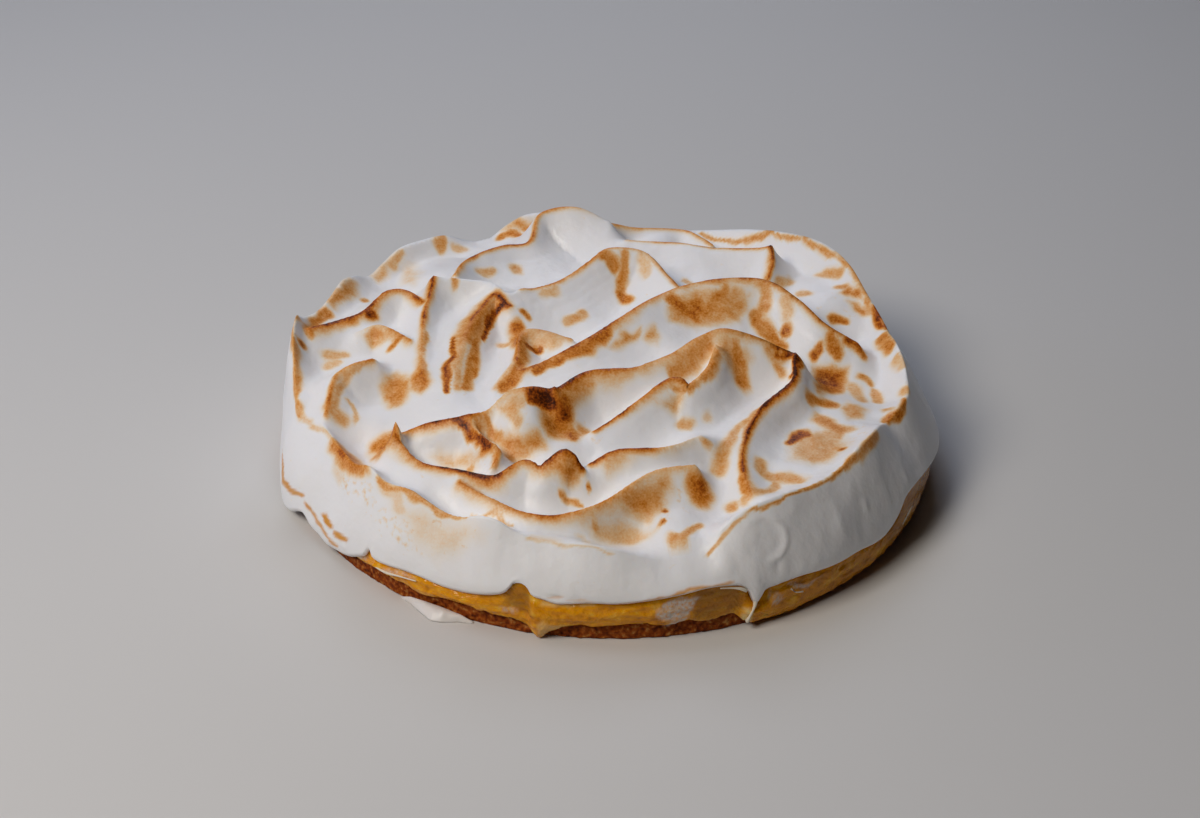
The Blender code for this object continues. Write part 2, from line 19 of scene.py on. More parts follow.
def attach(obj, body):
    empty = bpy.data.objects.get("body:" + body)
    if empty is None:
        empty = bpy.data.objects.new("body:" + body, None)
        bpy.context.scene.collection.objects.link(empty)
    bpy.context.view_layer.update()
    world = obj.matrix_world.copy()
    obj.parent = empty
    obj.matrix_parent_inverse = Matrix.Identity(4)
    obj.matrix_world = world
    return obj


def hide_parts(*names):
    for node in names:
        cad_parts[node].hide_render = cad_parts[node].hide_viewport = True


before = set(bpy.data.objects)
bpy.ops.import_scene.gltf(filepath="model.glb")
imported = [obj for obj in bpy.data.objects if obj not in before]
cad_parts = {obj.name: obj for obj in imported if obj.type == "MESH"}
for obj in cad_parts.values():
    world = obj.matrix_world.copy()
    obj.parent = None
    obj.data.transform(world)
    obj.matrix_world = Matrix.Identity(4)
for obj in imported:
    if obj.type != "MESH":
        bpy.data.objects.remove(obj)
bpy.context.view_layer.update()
MM = 0.001  # every size below is in millimetres, and the meshes are in metres

# %% [markdown]
# ## A few small helpers
#
# Colours are written as the sRGB hex values that a colour picker shows. The shaders add light, so
# they need linear values, and one function turns the one into the other.
# Materials here are small trees of nodes. Adding a node, setting it and linking it is always the
# same work, so one function does all three.


# %% Helpers for colours, nodes and objects
def linear(hex_colour):
    """An sRGB hex colour such as #C8A060 as linear red, green, blue and alpha."""
    channels = [int(hex_colour[k : k + 2], 16) / 255 for k in (1, 3, 5)]
    return (*(c / 12.92 if c <= 0.04045 else ((c + 0.055) / 1.055) ** 2.4 for c in channels), 1.0)


def fill(node, inputs):
    """Gives each of these inputs of the node its value, or a link from another node's output."""
    for socket, value in inputs.items():
        if isinstance(value, bpy.types.NodeSocket):
            node.id_data.links.new(value, node.inputs[socket])
        else:
            node.inputs[socket].default_value = value


def add_node(tree, kind, inputs=(), stops=(), **settings):
    """The outputs of a new node; stops are the (position, colour) pairs of a colour ramp."""
    made = tree.nodes.new("ShaderNode" + kind)
    for name, value in settings.items():
        setattr(made, name, value)
    for k, (position, colour) in enumerate(stops):
        stop = made.color_ramp.elements[k] if k < 2 else made.color_ramp.elements.new(position)
        stop.position, stop.color = position, linear(colour)
    fill(made, dict(inputs))
    return made.outputs


def new_material(name):
    """An empty material, what adds a node to it, and its surface shader."""
    made = bpy.data.materials.new(name)
    made.use_nodes = True
    return made, partial(add_node, made.node_tree), made.node_tree.nodes["Principled BSDF"]


def show(name, data):
    """A new object in the scene for this camera, lamp or mesh."""
    made = bpy.data.objects.new(name, data)
    bpy.context.collection.objects.link(made)
    return made


print("mid grey #808080 is linear", round(linear("#808080")[0], 3))

# %% [markdown]
# ## The camera
#
# The camera stands where the photographer stood: about 0.8 m from the pie, 32 degrees above the
# table, with a 60 mm lens. A small pan, tilt and roll place the pie in the frame, so the lens needs
# no shift.

# %% Camera
LENS = 60.0
CAMERA_ELEVATION = 31.96  # degrees above the table
CAMERA_DISTANCE = 803.5
CAMERA_AIM = (-7.0, -2.9)  # the point of the table that it would look at with no pan or tilt
CAMERA_TURNS = (("Y", -0.307), ("X", 1.338), ("Z", 0.872))  # pan, tilt and roll in degrees

raised = math.radians(CAMERA_ELEVATION)
stand = Vector((0.0, -math.cos(raised), math.sin(raised))) * CAMERA_DISTANCE
pose = Matrix.Translation((stand + Vector((*CAMERA_AIM, 0.0))) * MM)
pose = pose @ Matrix.Rotation(math.pi / 2 - raised, 4, "X")
for axis, degrees in CAMERA_TURNS:
    pose = pose @ Matrix.Rotation(math.radians(degrees), 4, axis)
camera = show("photo camera", bpy.data.cameras.new("photo camera"))
camera.data.lens = LENS
camera.matrix_world = pose
bpy.context.scene.camera = camera
print("camera at", [round(c, 3) for c in pose.translation])

# %% [markdown]
# ## Light and floor
#
# Meringue is nearly white, so its shape shows only through shade. A window's soft light from the
# left and in front draws the folds. The bluish sky fills in weakly from above and from the left, and
# a light from behind picks out the crests, so the wall on the right stays in shade, as on the real
# pie. A matt pale floor carries the pie.

# %% Light and floor
LIGHTS = (  # name, place in metres, size in metres, power in watts, colour
    ("window", (-0.66, -0.60, 0.97), 0.5, 9.3, "#FFF8F0"),
    ("sky above", (-0.45, 0.20, 1.20), 0.6, 2.1, "#DDE7FF"),
    ("sky on the left", (-1.25, 0.20, 0.35), 0.6, 1.45, "#AFC8FF"),
    ("back light", (0.00, 0.92, 0.95), 0.6, 3.2, "#E2EAFF"),
)
LIT_SPOT = Vector((0.0, 0.0, 0.03))
SKY_COLOUR, SKY_STRENGTH = "#D8DCE2", 0.01
FLOOR_COLOURS = ("#D9D7D3", "#D5D3CF")
FLOOR_SIZE = 8.0  # metres

for name, place, size, power, colour in LIGHTS:
    lamp = show(name, bpy.data.lights.new(name, "AREA"))
    lamp.data.size, lamp.data.energy, lamp.data.color = size, power, linear(colour)[:3]
    lamp.location = place
    lamp.rotation_euler = (LIT_SPOT - Vector(place)).to_track_quat("-Z", "Y").to_euler()

world = bpy.data.worlds.new("soft studio")
world.use_nodes = True
fill(world.node_tree.nodes["Background"], {"Color": linear(SKY_COLOUR), "Strength": SKY_STRENGTH})
bpy.context.scene.world = world
bpy.context.scene.view_settings.view_transform = "Standard"

floor_paint, node, shader = new_material("matt floor paint")
mottle = node("TexNoise", {"Scale": 6.0, "Detail": 3.0})["Fac"]
first, second = map(linear, FLOOR_COLOURS)
tint = node("Mix", {"Factor": mottle, 6: first, 7: second}, data_type="RGBA")[2]
fill(shader, {"Base Color": tint, "Roughness": 0.85})
half = FLOOR_SIZE / 2
floor_mesh = bpy.data.meshes.new("floor")
corners = [(x * half, y * half, 0) for x, y in ((-1, -1), (1, -1), (1, 1), (-1, 1))]
floor_mesh.from_pydata(corners, [], [(0, 1, 2, 3)])
floor_mesh.materials.append(floor_paint)
show("floor", floor_mesh)
print("lights:", [row[0] for row in LIGHTS])

# %% [markdown]
# ## Curves and soft noise
#
# The pie is described in polar terms: a table gives a height or a radius at some azimuths, and a
# closed curve runs smoothly through them. A spatula's stroke is a smooth open curve.
# Hand-made food is never quite even. A lattice of random numbers, blended smoothly, gives a field
# with lumps of a chosen size in millimetres, and the same seed gives the same lumps every time.


# %% Curves and noise
def points(text):
    """Points written as text: commas between the numbers of one, spaces between points."""
    return [tuple(map(float, point.split(","))) for point in text.split()]


def periodic(knots, at):
    """The smooth closed curve through rows of (azimuth, value, ...), read at other azimuths."""
    knots = np.array([*knots[-2:], *knots, *knots[:2]])
    knots[:2, 0] -= 360.0
    knots[-2:, 0] += 360.0
    at = (at + 180.0) % 360.0 - 180.0
    k = np.clip(np.searchsorted(knots[:, 0], at, side="right") - 1, 1, len(knots) - 3)
    span = knots[k + 1, 0] - knots[k, 0]
    t = ((at - knots[k, 0]) / span)[:, None]

    def slope(i):
        rise = knots[i + 1, 1:] - knots[i - 1, 1:]
        return rise / (knots[i + 1, 0] - knots[i - 1, 0])[:, None] * span[:, None]

    flat = knots[k, 1:] * (2 * t**3 - 3 * t**2 + 1) + knots[k + 1, 1:] * (3 * t**2 - 2 * t**3)
    return flat + slope(k) * (t**3 - 2 * t**2 + t) + slope(k + 1) * (t**3 - t**2)


def smooth_stroke(knots, spacing):
    """Catmull-Rom curve through the knots, with samples about spacing apart."""
    knots = np.array(knots, float)
    knots = np.vstack([2 * knots[0] - knots[1], knots, 2 * knots[-1] - knots[-2]])
    samples = []
    for p0, p1, p2, p3 in zip(knots, knots[1:], knots[2:], knots[3:]):
        count = max(1, round(math.dist(p1[:2], p2[:2]) / spacing))
        for t in np.arange(count) / count:
            bend = (2 * p0 - 5 * p1 + 4 * p2 - p3) * t**2 + (3 * p1 - p0 - 3 * p2 + p3) * t**3
            samples.append(0.5 * (2 * p1 + (p2 - p0) * t + bend))
    return np.array([*samples, knots[-2]])


def soft_step(value):
    """0 below 0, 1 above 1, and a smooth rise between."""
    t = np.clip(value, 0.0, 1.0)
    return t * t * (3.0 - 2.0 * t)


def lumps(u, v, size, seed):
    """A smooth random field between -1 and 1 over (u, v), with lumps about size across."""
    cells = 97
    lattice = np.random.default_rng(seed).uniform(-1, 1, (cells, cells))
    a, b = np.asarray(u) / size, np.asarray(v) / size
    i, j = np.floor(a).astype(int), np.floor(b).astype(int)
    f, g = soft_step(a - i), soft_step(b - j)
    low, high = (
        lattice[(i + p) % cells, j % cells] * (1 - g) + lattice[(i + p) % cells, (j + 1) % cells] * g
        for p in (0, 1)
    )
    return low * (1 - f) + high * f


print("noise at one spot:", round(float(lumps(3.0, 4.0, 5.0, 1)), 3))

# %% [markdown]
# ## The meringue's rim and wall
#
# The meringue was smoothed round its side with a spatula, which left a wavy rim, a wall that leans
# out to its foot, and a ragged lower edge over the curd. Each is a table by azimuth, from +X and
# anticlockwise as seen from above, so -90 faces the camera.

# %% Rim, wall and skirt
# Azimuth, radius, height
RIM = points("""
-175,121.5,58 -170,121.5,52 -165.5,122,45 -161.5,123.2,39 -158,120.5,40 -154,117.5,41 -149,117,40.5
-145,117,39.5 -141,118,39.5 -136,118,43 -132.5,118,40.5 -127,118,42 -123,118,40.5 -118.5,118,38.3
-115.5,118,38.5 -112,118,41.3 -108.5,118,41 -105.5,118,37.8 -101,118,36 -94,118,35.8 -89,118,34.2
-84.5,118,31 -81,118,29.2 -77.5,118,29.6 -73.5,117.5,31 -70,116,37.5 -66.5,115.5,42 -62,115,44 -57,115,44.3
-51,115,43 -44,114.5,43.5 -37,114,47 -31,113.5,47 -27,113,45.5 -23,113,42 -18,115.3,43.5 -13,117.3,44.5
-9,115.8,48 -3,114.3,49.5 3,112.8,50 8,112.5,48.5 13,113.5,48 21,113,52.5 29,113.5,58.5 38,115,60
47,115,58.3 57,114,54.5 69,112,49.5 83,112,47 92,112,49.5 99,111,54 108,112,55 113,112,51.5 118,112,46
123,112,48 128,113,52.5 134,114,53.5 140,115,53.5 145,115,50.5 150,115,48.5 155,115,53 160,115,55.5
166,115,54 171,117,52.5 176,120,55 180,121,60
""")
# Azimuth, radius, fullness: 1 is a straight slope, more is rounder
WALL_FOOT = points("""
-178,127.5,2.4 -168,129,2.4 -160,131.5,2.2 -154,130.5,2 -147,128,1.8 -135,127.2,1.6 -115,127.2,1.5
-90,127.6,1.5 -66,128.4,1.5 -45,128.4,1.4 -30,128.2,1.3 -22,129,1.2 -12,130.8,1.1 0,131,1.1 15,130,1.2
40,128,1.5 90,127.5,1.6 135,127.5,1.8 165,127.5,2.2
""")
# Azimuth, height of the skirt's edge
LOWER_EDGE = points("""
-176,9 -170,6 -165,3.5 -161,2.2 -157,3.2 -153,8 -151,8.5 -149,5.6 -146.5,4.6 -144,3.4 -141.5,4.4 -139.6,5
-137.5,6.4 -135.7,8.4 -133.6,11.2 -132.4,15 -131.4,12 -129,12 -125,13.3 -121,13.6 -117.5,13 -113.5,13.2
-110,14.3 -107.3,16 -105.9,18 -104.9,21.2 -103.7,22 -102.7,20.6 -101.8,17.8 -100,16.8 -98,15.6 -96,16
-93,16.9 -88,16.9 -84,17.8 -78,19.6 -74,20.7 -70,20.2 -68,18.8 -66.9,15.8 -66.1,11 -65.4,11 -64.4,15
-62,16.1 -57.5,16.4 -53,15.3 -49,14.6 -44,14.6 -38,12.6 -34,15 -30,20.5 -25,21.5 -18,20.5 -10,18.5 0,16
30,13 60,14 90,12 120,13 150,12 170,11
""")
SKIRT_RADIUS = 125.5  # inside of the skirt
CURD_RADIUS = 124.9
CURD_TOP = 14.0
COLUMNS = 720
EVENING = 5.0  # degrees over which the skirt is evened for the wall above it

azimuths = -180.0 + 360.0 * np.arange(COLUMNS) / COLUMNS
angles = np.radians(azimuths)


def ring(radius, height, at=angles):
    """A ring of points; radius and height are one number or one for each column."""
    return np.stack([radius * np.cos(at), radius * np.sin(at), height + 0.0 * at], 1)


rim_radius, rim_height = periodic(RIM, azimuths).T
rim = ring(rim_radius, rim_height)
foot_radius, fullness = periodic(WALL_FOOT, azimuths).T
skirt_height = periodic(LOWER_EDGE, azimuths)[:, 0]
steps = np.arange(-3 * EVENING, 3 * EVENING, 360.0 / COLUMNS)
weights = np.exp(-((steps / EVENING) ** 2) / 2)
edges = (w * periodic(LOWER_EDGE, azimuths + step)[:, 0] for step, w in zip(steps, weights))
even_height = sum(edges) / weights.sum()
print("rim from", round(rim_height.min(), 1), "to", round(rim_height.max(), 1), "mm high")

# %% [markdown]
# ## The folds on top
#
# Each pass of the spatula pushed up a fold with a thin crest. A fold is a stroke in three
# dimensions, with a width on its right and on its left and a lip that leans over a little.
# Sculpting by hand would also do it, but then nothing could be measured or moved. Here the folds
# are added as heights over a floor of hollows, and a soft maximum lets them run into each other
# as whipped egg white does.

# %% Folds
# The lowest places between the folds
HOLLOWS = points("""
-108,-18,45 -84,-38,41 -96,24,47 -50,-40,44 -60,-74,36 -95,-62,33 -45,-101,30 0,-109,27 45,-100,32
-22,-72,38 5,-66,41 38,-52,45 10,-22,47 -20,-12,46 25,-88,36 74,-62,41 84,-30,42 98,-12,38 98,20,41 80,40,46
-46,0,47 -84,6,46 30,8,51 0,28,50 -20,50,50 -36,84,47 -78,58,45 20,62,50 78,62,49 50,92,44 0,100,42 -2,75,50
-100,-4,47 60,-92,38
""")
HOLLOW_REACH = 17.0
FOLDS = (  # name, width of the right and left slopes, lean of the lip to the left, crest
    ("left hook", 16, 12, 1.0, "-104,-47,44 -103,-36,49 -101,-29,51 -96,-25,53 -89,-21,53"),
    ("left wave", 16, 18, 1.5, "-115,-2,55 -106,6,54 -96,12,55 -88,24,58 -80,25,58 -74,17,55"),
    ("left leaf", 9, 12, 1.0, "-97,1,52 -89,3,54 -77,-7,53"),
    ("upright fold", 20, 22, 0.0, "-70,29,62 -72,12,58 -72,-4,54 -71,-24,49"),
    ("upright fold top", 14, 12, 0.0, "-70,29,62 -60,30,62 -48,29,61 -40,22,59 -34,25,59"),
    ("curled fold", 26, 13, 1.0, "-39,17,57 -46,22,59 -52,12,57 -56,1,55 -59,-18,51 -59,-34,46"),
    ("small spur", 10, 10, 1.5, "-42,-32,47 -34,-18,52 -32,0,55 -15,-3,53"),
    ("back sail", 30, 12, 0.0, "-35,25,59 -20,33,60 -8,44,64 0,51,66 14,51,65 22,39,62 29,27,60"),
    ("long fold", 26, 14, 1.5,
        "-32,-25,50 -12,-12,55 6,4,59 24,21,62 42,27,64 61,28,64 74,18,61 84,8,56 97,3,50"),
    ("middle fold left", 12, 12, 2.0,
        "-77,-62,43 -66,-61,48 -52,-61,52 -43,-58,53 -36,-53,57 -28,-52,59 -19,-51,57"),
    ("middle fold", 20, 12, 2.5,
        "-19,-51,57 -8,-39,58 10,-35,58 24,-28,60 36,-20,64 44,-18,66 57,-18,62 72,-20,56"),
    ("middle fold tail", 14, 10, -2.0, "72,-20,56 71,-32,53 60,-45,50 52,-61,46 50,-76,43 52,-88,40"),
    ("lip", 10, 12, 1.5, "-50,-63,49 -45,-71,49 -40,-77,48 -42,-81,44"),
    ("near sail", 16, 10, 2.0, "-4,-61,46 10,-51,52 24,-40,57 30,-42,55 38,-34,58 42,-24,63"),
    ("low fold", 12, 9, 1.5, "-6,-80,44 4,-77,48 20,-75,48 34,-67,48"),
    ("wave", 15, 9, 2.5,
        "-78,-68,45 -68,-79,43 -52,-85,43 -40,-88,43 -30,-84,47 -24,-86,46 -15,-82,51 -10,-84,45"),
    ("near fold", 11, 12, 1.0,
        "-53,-89,41 -42,-97,40 -28,-104,38.5 -12,-104,39 2,-97,42 16,-86,45 31,-82,46"),
    ("back peak", 24, 16, 0.0, "-62,38,60 -58,54,59 -45,68,58 -33,74,58 -29,90,63 -14,93,65 0,90,60"),
    ("back ledge", 22, 14, 0.0, "8,80,56 26,77,57 45,72,57 66,67,60"),
    ("back tip", 12, 12, 1.0, "67,68,60 67,58,57 64,50,52"),
    ("back strand", 12, 10, 0.0, "0,96,56 16,100,52 34,100,51 44,84,53"),
    ("horn", 8, 8, 0.0, "-79,-68,45 -77,-66,52"),
)
# Rounded swellings without a crest: x, y, height of the top, width
SWELLS = points("""
-31,-57,55,16 -58,4,52,14 -20,-64,45,16 -66,58,51,22 20,98,50,14 96,44,51,24
""")
RIM_SLOPE = 12.0  # width of the rim's inner slope
CREST_ROUND = 0.8  # radius that blunts a crest
DOMES = {"curled fold": 4.0, "back sail": 1.6}  # radius of the folds with a rounder crest
VALLEY_BLEND = 2.2  # how softly two slopes run into each other
LIP_DROP = 5.0  # the part of a crest below its top that leans with it
LOW_CREST = 4.0  # crests lower than this above the valley lean less
CREST_SPACING = 1.2


def floor_height(x, y):
    """Height of the valleys between the folds: the hollows' heights, blended by distance."""
    total, weights = np.zeros(len(x)), np.zeros(len(x))
    for hollow_x, hollow_y, height in HOLLOWS:
        away = ((x - hollow_x) ** 2 + (y - hollow_y) ** 2) / HOLLOW_REACH**2
        weight = 1.0 / (1.0 + away) ** 3
        total += weight * height
        weights += weight
    return total / weights


def nearest_on(stroke, x, y):
    """For each (x, y): distance to the stroke, the side it lies on (1 left, -1 right, between them
    past the ends), height and share along it there, the direction to its left and the nearest
    point."""
    a, b = stroke[:-1], stroke[1:]
    run = b[:, :2] - a[:, :2]
    length = np.maximum(np.hypot(run[:, 0], run[:, 1]), 1e-9)
    px, py = x[:, None] - a[:, 0], y[:, None] - a[:, 1]
    t = np.clip((px * run[:, 0] + py * run[:, 1]) / length**2, 0.0, 1.0)
    dx, dy = px - t * run[:, 0], py - t * run[:, 1]
    k = np.argmin(dx**2 + dy**2, axis=1)
    row = np.arange(len(x))
    t, dx, dy = t[row, k], dx[row, k], dy[row, k]
    distance = np.hypot(dx, dy)
    across = (run[k, 0] * dy - run[k, 1] * dx) / length[k]
    side = np.clip(across / np.maximum(distance, 1e-9), -1.0, 1.0)
    height = a[k, 2] + t * (b[k, 2] - a[k, 2])
    travelled = np.concatenate([[0.0], np.cumsum(length)])
    share = (travelled[k] + t * length[k]) / travelled[-1]
    left = np.stack([-run[k, 1], run[k, 0]], 1) / length[k, None]
    return distance, side, height, share, left, np.stack([x - dx, y - dy], 1)


crests = {name: smooth_stroke(points(crest), CREST_SPACING) for name, _, _, _, crest in FOLDS}
closed_rim = np.vstack([rim, rim[:1]])[::3]
print(len(crests), "folds, longest", max(len(c) for c in crests.values()), "samples")

# %% [markdown]
# ## One surface from the folds
#
# A crest is crisp and its slopes are hollow, so the height falls off as a square. The points near
# a crest also move sideways with the lip's lean. Fine ripples beside the crests are the marks of
# the spatula's edge, and two sizes of lumps stand for the foam.

# %% Height of the meringue
RIPPLE_SPACING = 3.4
RIPPLE_HEIGHT = 0.10
RIPPLE_START = 3.0  # mm from a crest where the ripples are full
RIPPLE_FOLD = 8.0  # folds lower than this have weaker ripples
LUMP_HEIGHTS = ((11.0, 0.45), (4.5, 0.12))  # size and height of the foam's lumps


def meringue_top(x, y):
    """The meringue's upper surface over the points (x, y)."""
    strokes = [(RIM_SLOPE, RIM_SLOPE, 0.0, CREST_ROUND, closed_rim)]
    for name, right, left, lean, _ in FOLDS:
        strokes.append((right, left, lean, DOMES.get(name, CREST_ROUND), crests[name]))
    stacked, pull, ripple = np.zeros(len(x)), np.zeros(len(x)), np.zeros(len(x))
    shift = np.zeros((len(x), 2))
    for right, left, lean, roundness, stroke in strokes:
        distance, side, height, _, normal, foot = nearest_on(stroke, x, y)
        width = right + (left - right) * (1.0 + side) / 2
        blunt = np.sqrt(distance**2 + roundness**2) - roundness
        rise = height - floor_height(*foot.T)
        slope = np.clip(1.0 - blunt / width, 0.0, 1.0)
        relief = rise * slope**2
        stacked += np.exp(np.clip(relief / VALLEY_BLEND, -30.0, 30.0)) - 1.0
        near = np.clip(1.0 - (rise - relief) / LIP_DROP, 0.0, 1.0) ** 2
        near *= np.clip(rise / LOW_CREST, 0.0, 1.0)
        shift += (near * lean)[:, None] * normal
        pull += near
        wave = np.sin(2 * math.pi * distance / RIPPLE_SPACING + 5 * lumps(x, y, 14.0, 31)) * slope
        ripple += wave * np.clip(distance / RIPPLE_START, 0, 1) * np.clip(rise / RIPPLE_FOLD, 0, 1)
    for swell_x, swell_y, height, width in SWELLS:
        spot = floor_height(np.array([swell_x]), np.array([swell_y]))[0]
        away = ((x - swell_x) ** 2 + (y - swell_y) ** 2) / width**2
        stacked += np.exp((height - spot) * np.clip(1.0 - away, 0.0, 1.0) / VALLEY_BLEND) - 1.0
    z = floor_height(x, y) + VALLEY_BLEND * np.log1p(np.maximum(stacked, 0.0))
    z += RIPPLE_HEIGHT * np.clip(ripple, -1, 1) * (0.5 + 0.5 * lumps(x, y, 9.0, 32))
    for seed, (size, height) in enumerate(LUMP_HEIGHTS):
        z += height * lumps(x, y, size, seed)
    shift /= np.maximum(pull, 1.0)[:, None]
    return np.stack([x + shift[:, 0], y + shift[:, 1], z], 1)


sample = meringue_top(np.array([0.0, 44.0]), np.array([51.0, -18.0]))
print("two crests at", sample[:, 2].round(1), "mm")

# %% [markdown]
# ## Where the torch went
#
# A gas torch browns what stands up. The crest turns dark brown within a millimetre, and below it
# the colour fades through gold to white, further on the side that faced the flame. Rows along
# each fold say how deep the browning is and how far it runs to the right and left of the crest.

# %% Browning along the folds
TORCHED = {  # fold: share along it, depth, reach to the right and to the left
    "left hook": "0,.55,1.5,.5 .5,.6,1.5,.5 .8,.5,1,.5 1,.5,1,.5",
    "left wave": "0,.5,2,1 .2,.85,3,1 .45,.75,3,1 .6,.6,1.5,1 1,.65,1,1",
    "left leaf": "0,.1,1,.5 .4,.4,1.5,.5 1,.6,1.5,.5",
    "upright fold": "0,.8,2,1 .35,.7,1,1 .6,.5,1,1 .85,.5,2,1 1,.3,2,1.5",
    "curled fold": "0,.8,1,3 .25,.7,3,4 .5,.5,2,3 .75,.2,1,1 1,0,1,1",
    "small spur": "0,.3,.5,.5 .3,.3,1,.5 1,.4,1,.5",
    "back sail": "0,.5,.5,.5 .3,.65,1,.5 .5,.5,.5,.5 1,.5,.5,.5",
    "long fold": "0,.6,2,.5 .25,.65,2.5,.5 .4,.5,1.5,.5 .6,.6,2,.5 .8,.65,.5,.5 1,.6,1,.5",
    "middle fold left": "0,.7,1,.5 .2,.7,1,.5 .4,.8,1.2,.5 .5,.65,1,.5 .6,.3,1,.5 .75,.5,2,.5 1,.8,3,.5",
    "middle fold":
        "0,.85,6,.5 .16,.7,5,.5 .3,.6,2.5,.5 .45,.5,2,.5 .55,.45,3,.5 .66,.45,3,.5 .74,.5,2,.5 .85,.5,.5,.3 "
        "1,.75,1,.5",
    "middle fold tail": "0,.95,1.6,.5 .4,.95,1.6,.5 .8,.8,1.2,.5 1,.5,1,1",
    "near sail": "0,.75,.5,.3 .3,.7,1,.3 .5,.7,2,.3 .6,.7,2.5,.3 .7,.5,1,.3 1,.4,1,.3",
    "low fold": "0,.75,.5,.3 .25,.7,1.5,.3 .5,.7,.5,.3 .7,.35,1,.5 1,.2,1,.5",
    "wave":
        "0,.7,2,.5 .12,.72,1.5,.5 .4,.72,1,.5 .5,.85,2,.5 .62,.85,2,.5 .7,.7,.8,.5 .85,.95,2,.5 1,.8,2,.5",
    "near fold": "0,.5,1.5,1 .15,.5,1.5,.5 .3,.62,1,.5 .48,.62,2,.5 .6,.45,2,.5 1,.3,2,.5",
    "back peak": "0,.6,1,1 .4,.6,1,.5 .7,.5,.5,.5 .8,.5,.5,2 1,0,1,1",
    "back ledge": "0,.4,.5,.3 .6,.5,.5,.3 1,.6,.5,.5",
    "back tip": "0,.85,1,.5 1,.5,1.5,.5",
    "back strand": "0,.5,1,.5 1,.5,.5,.5",
}
BAND_EDGE = 1.6  # mm, how far the browning beside a crest fades out beyond its reach
CREST_LINE = 0.9  # mm from the crest where the browning is deepest
LINE_SHARE = 0.32  # how much shallower it is beyond this line
LINE_DEPTH = 0.5  # how much deeper it is on the line than beside it
print(len(TORCHED), "browned folds")

# %% [markdown]
# ## Marks beside the folds
#
# The flame also touched flat places. Those marks are narrow strokes with a width, or outlined
# patches that are deepest inside. Two thin strokes along the front rim are painted shade instead:
# the shadow in the crease where the rim's top meets the wall. Where it came closest, the sugar
# spat fine brown dots. Each row is one mark as it was seen, so its place can be moved without
# touching the others.


# %% Marks of the flame
def marks(text):
    """Rows of a table as text: numbers of the whole mark, a colon and the mark's points."""
    rows = (line.split(":") for line in text.strip().splitlines())
    return [(*points(head)[0], points(places)) for head, places in rows]
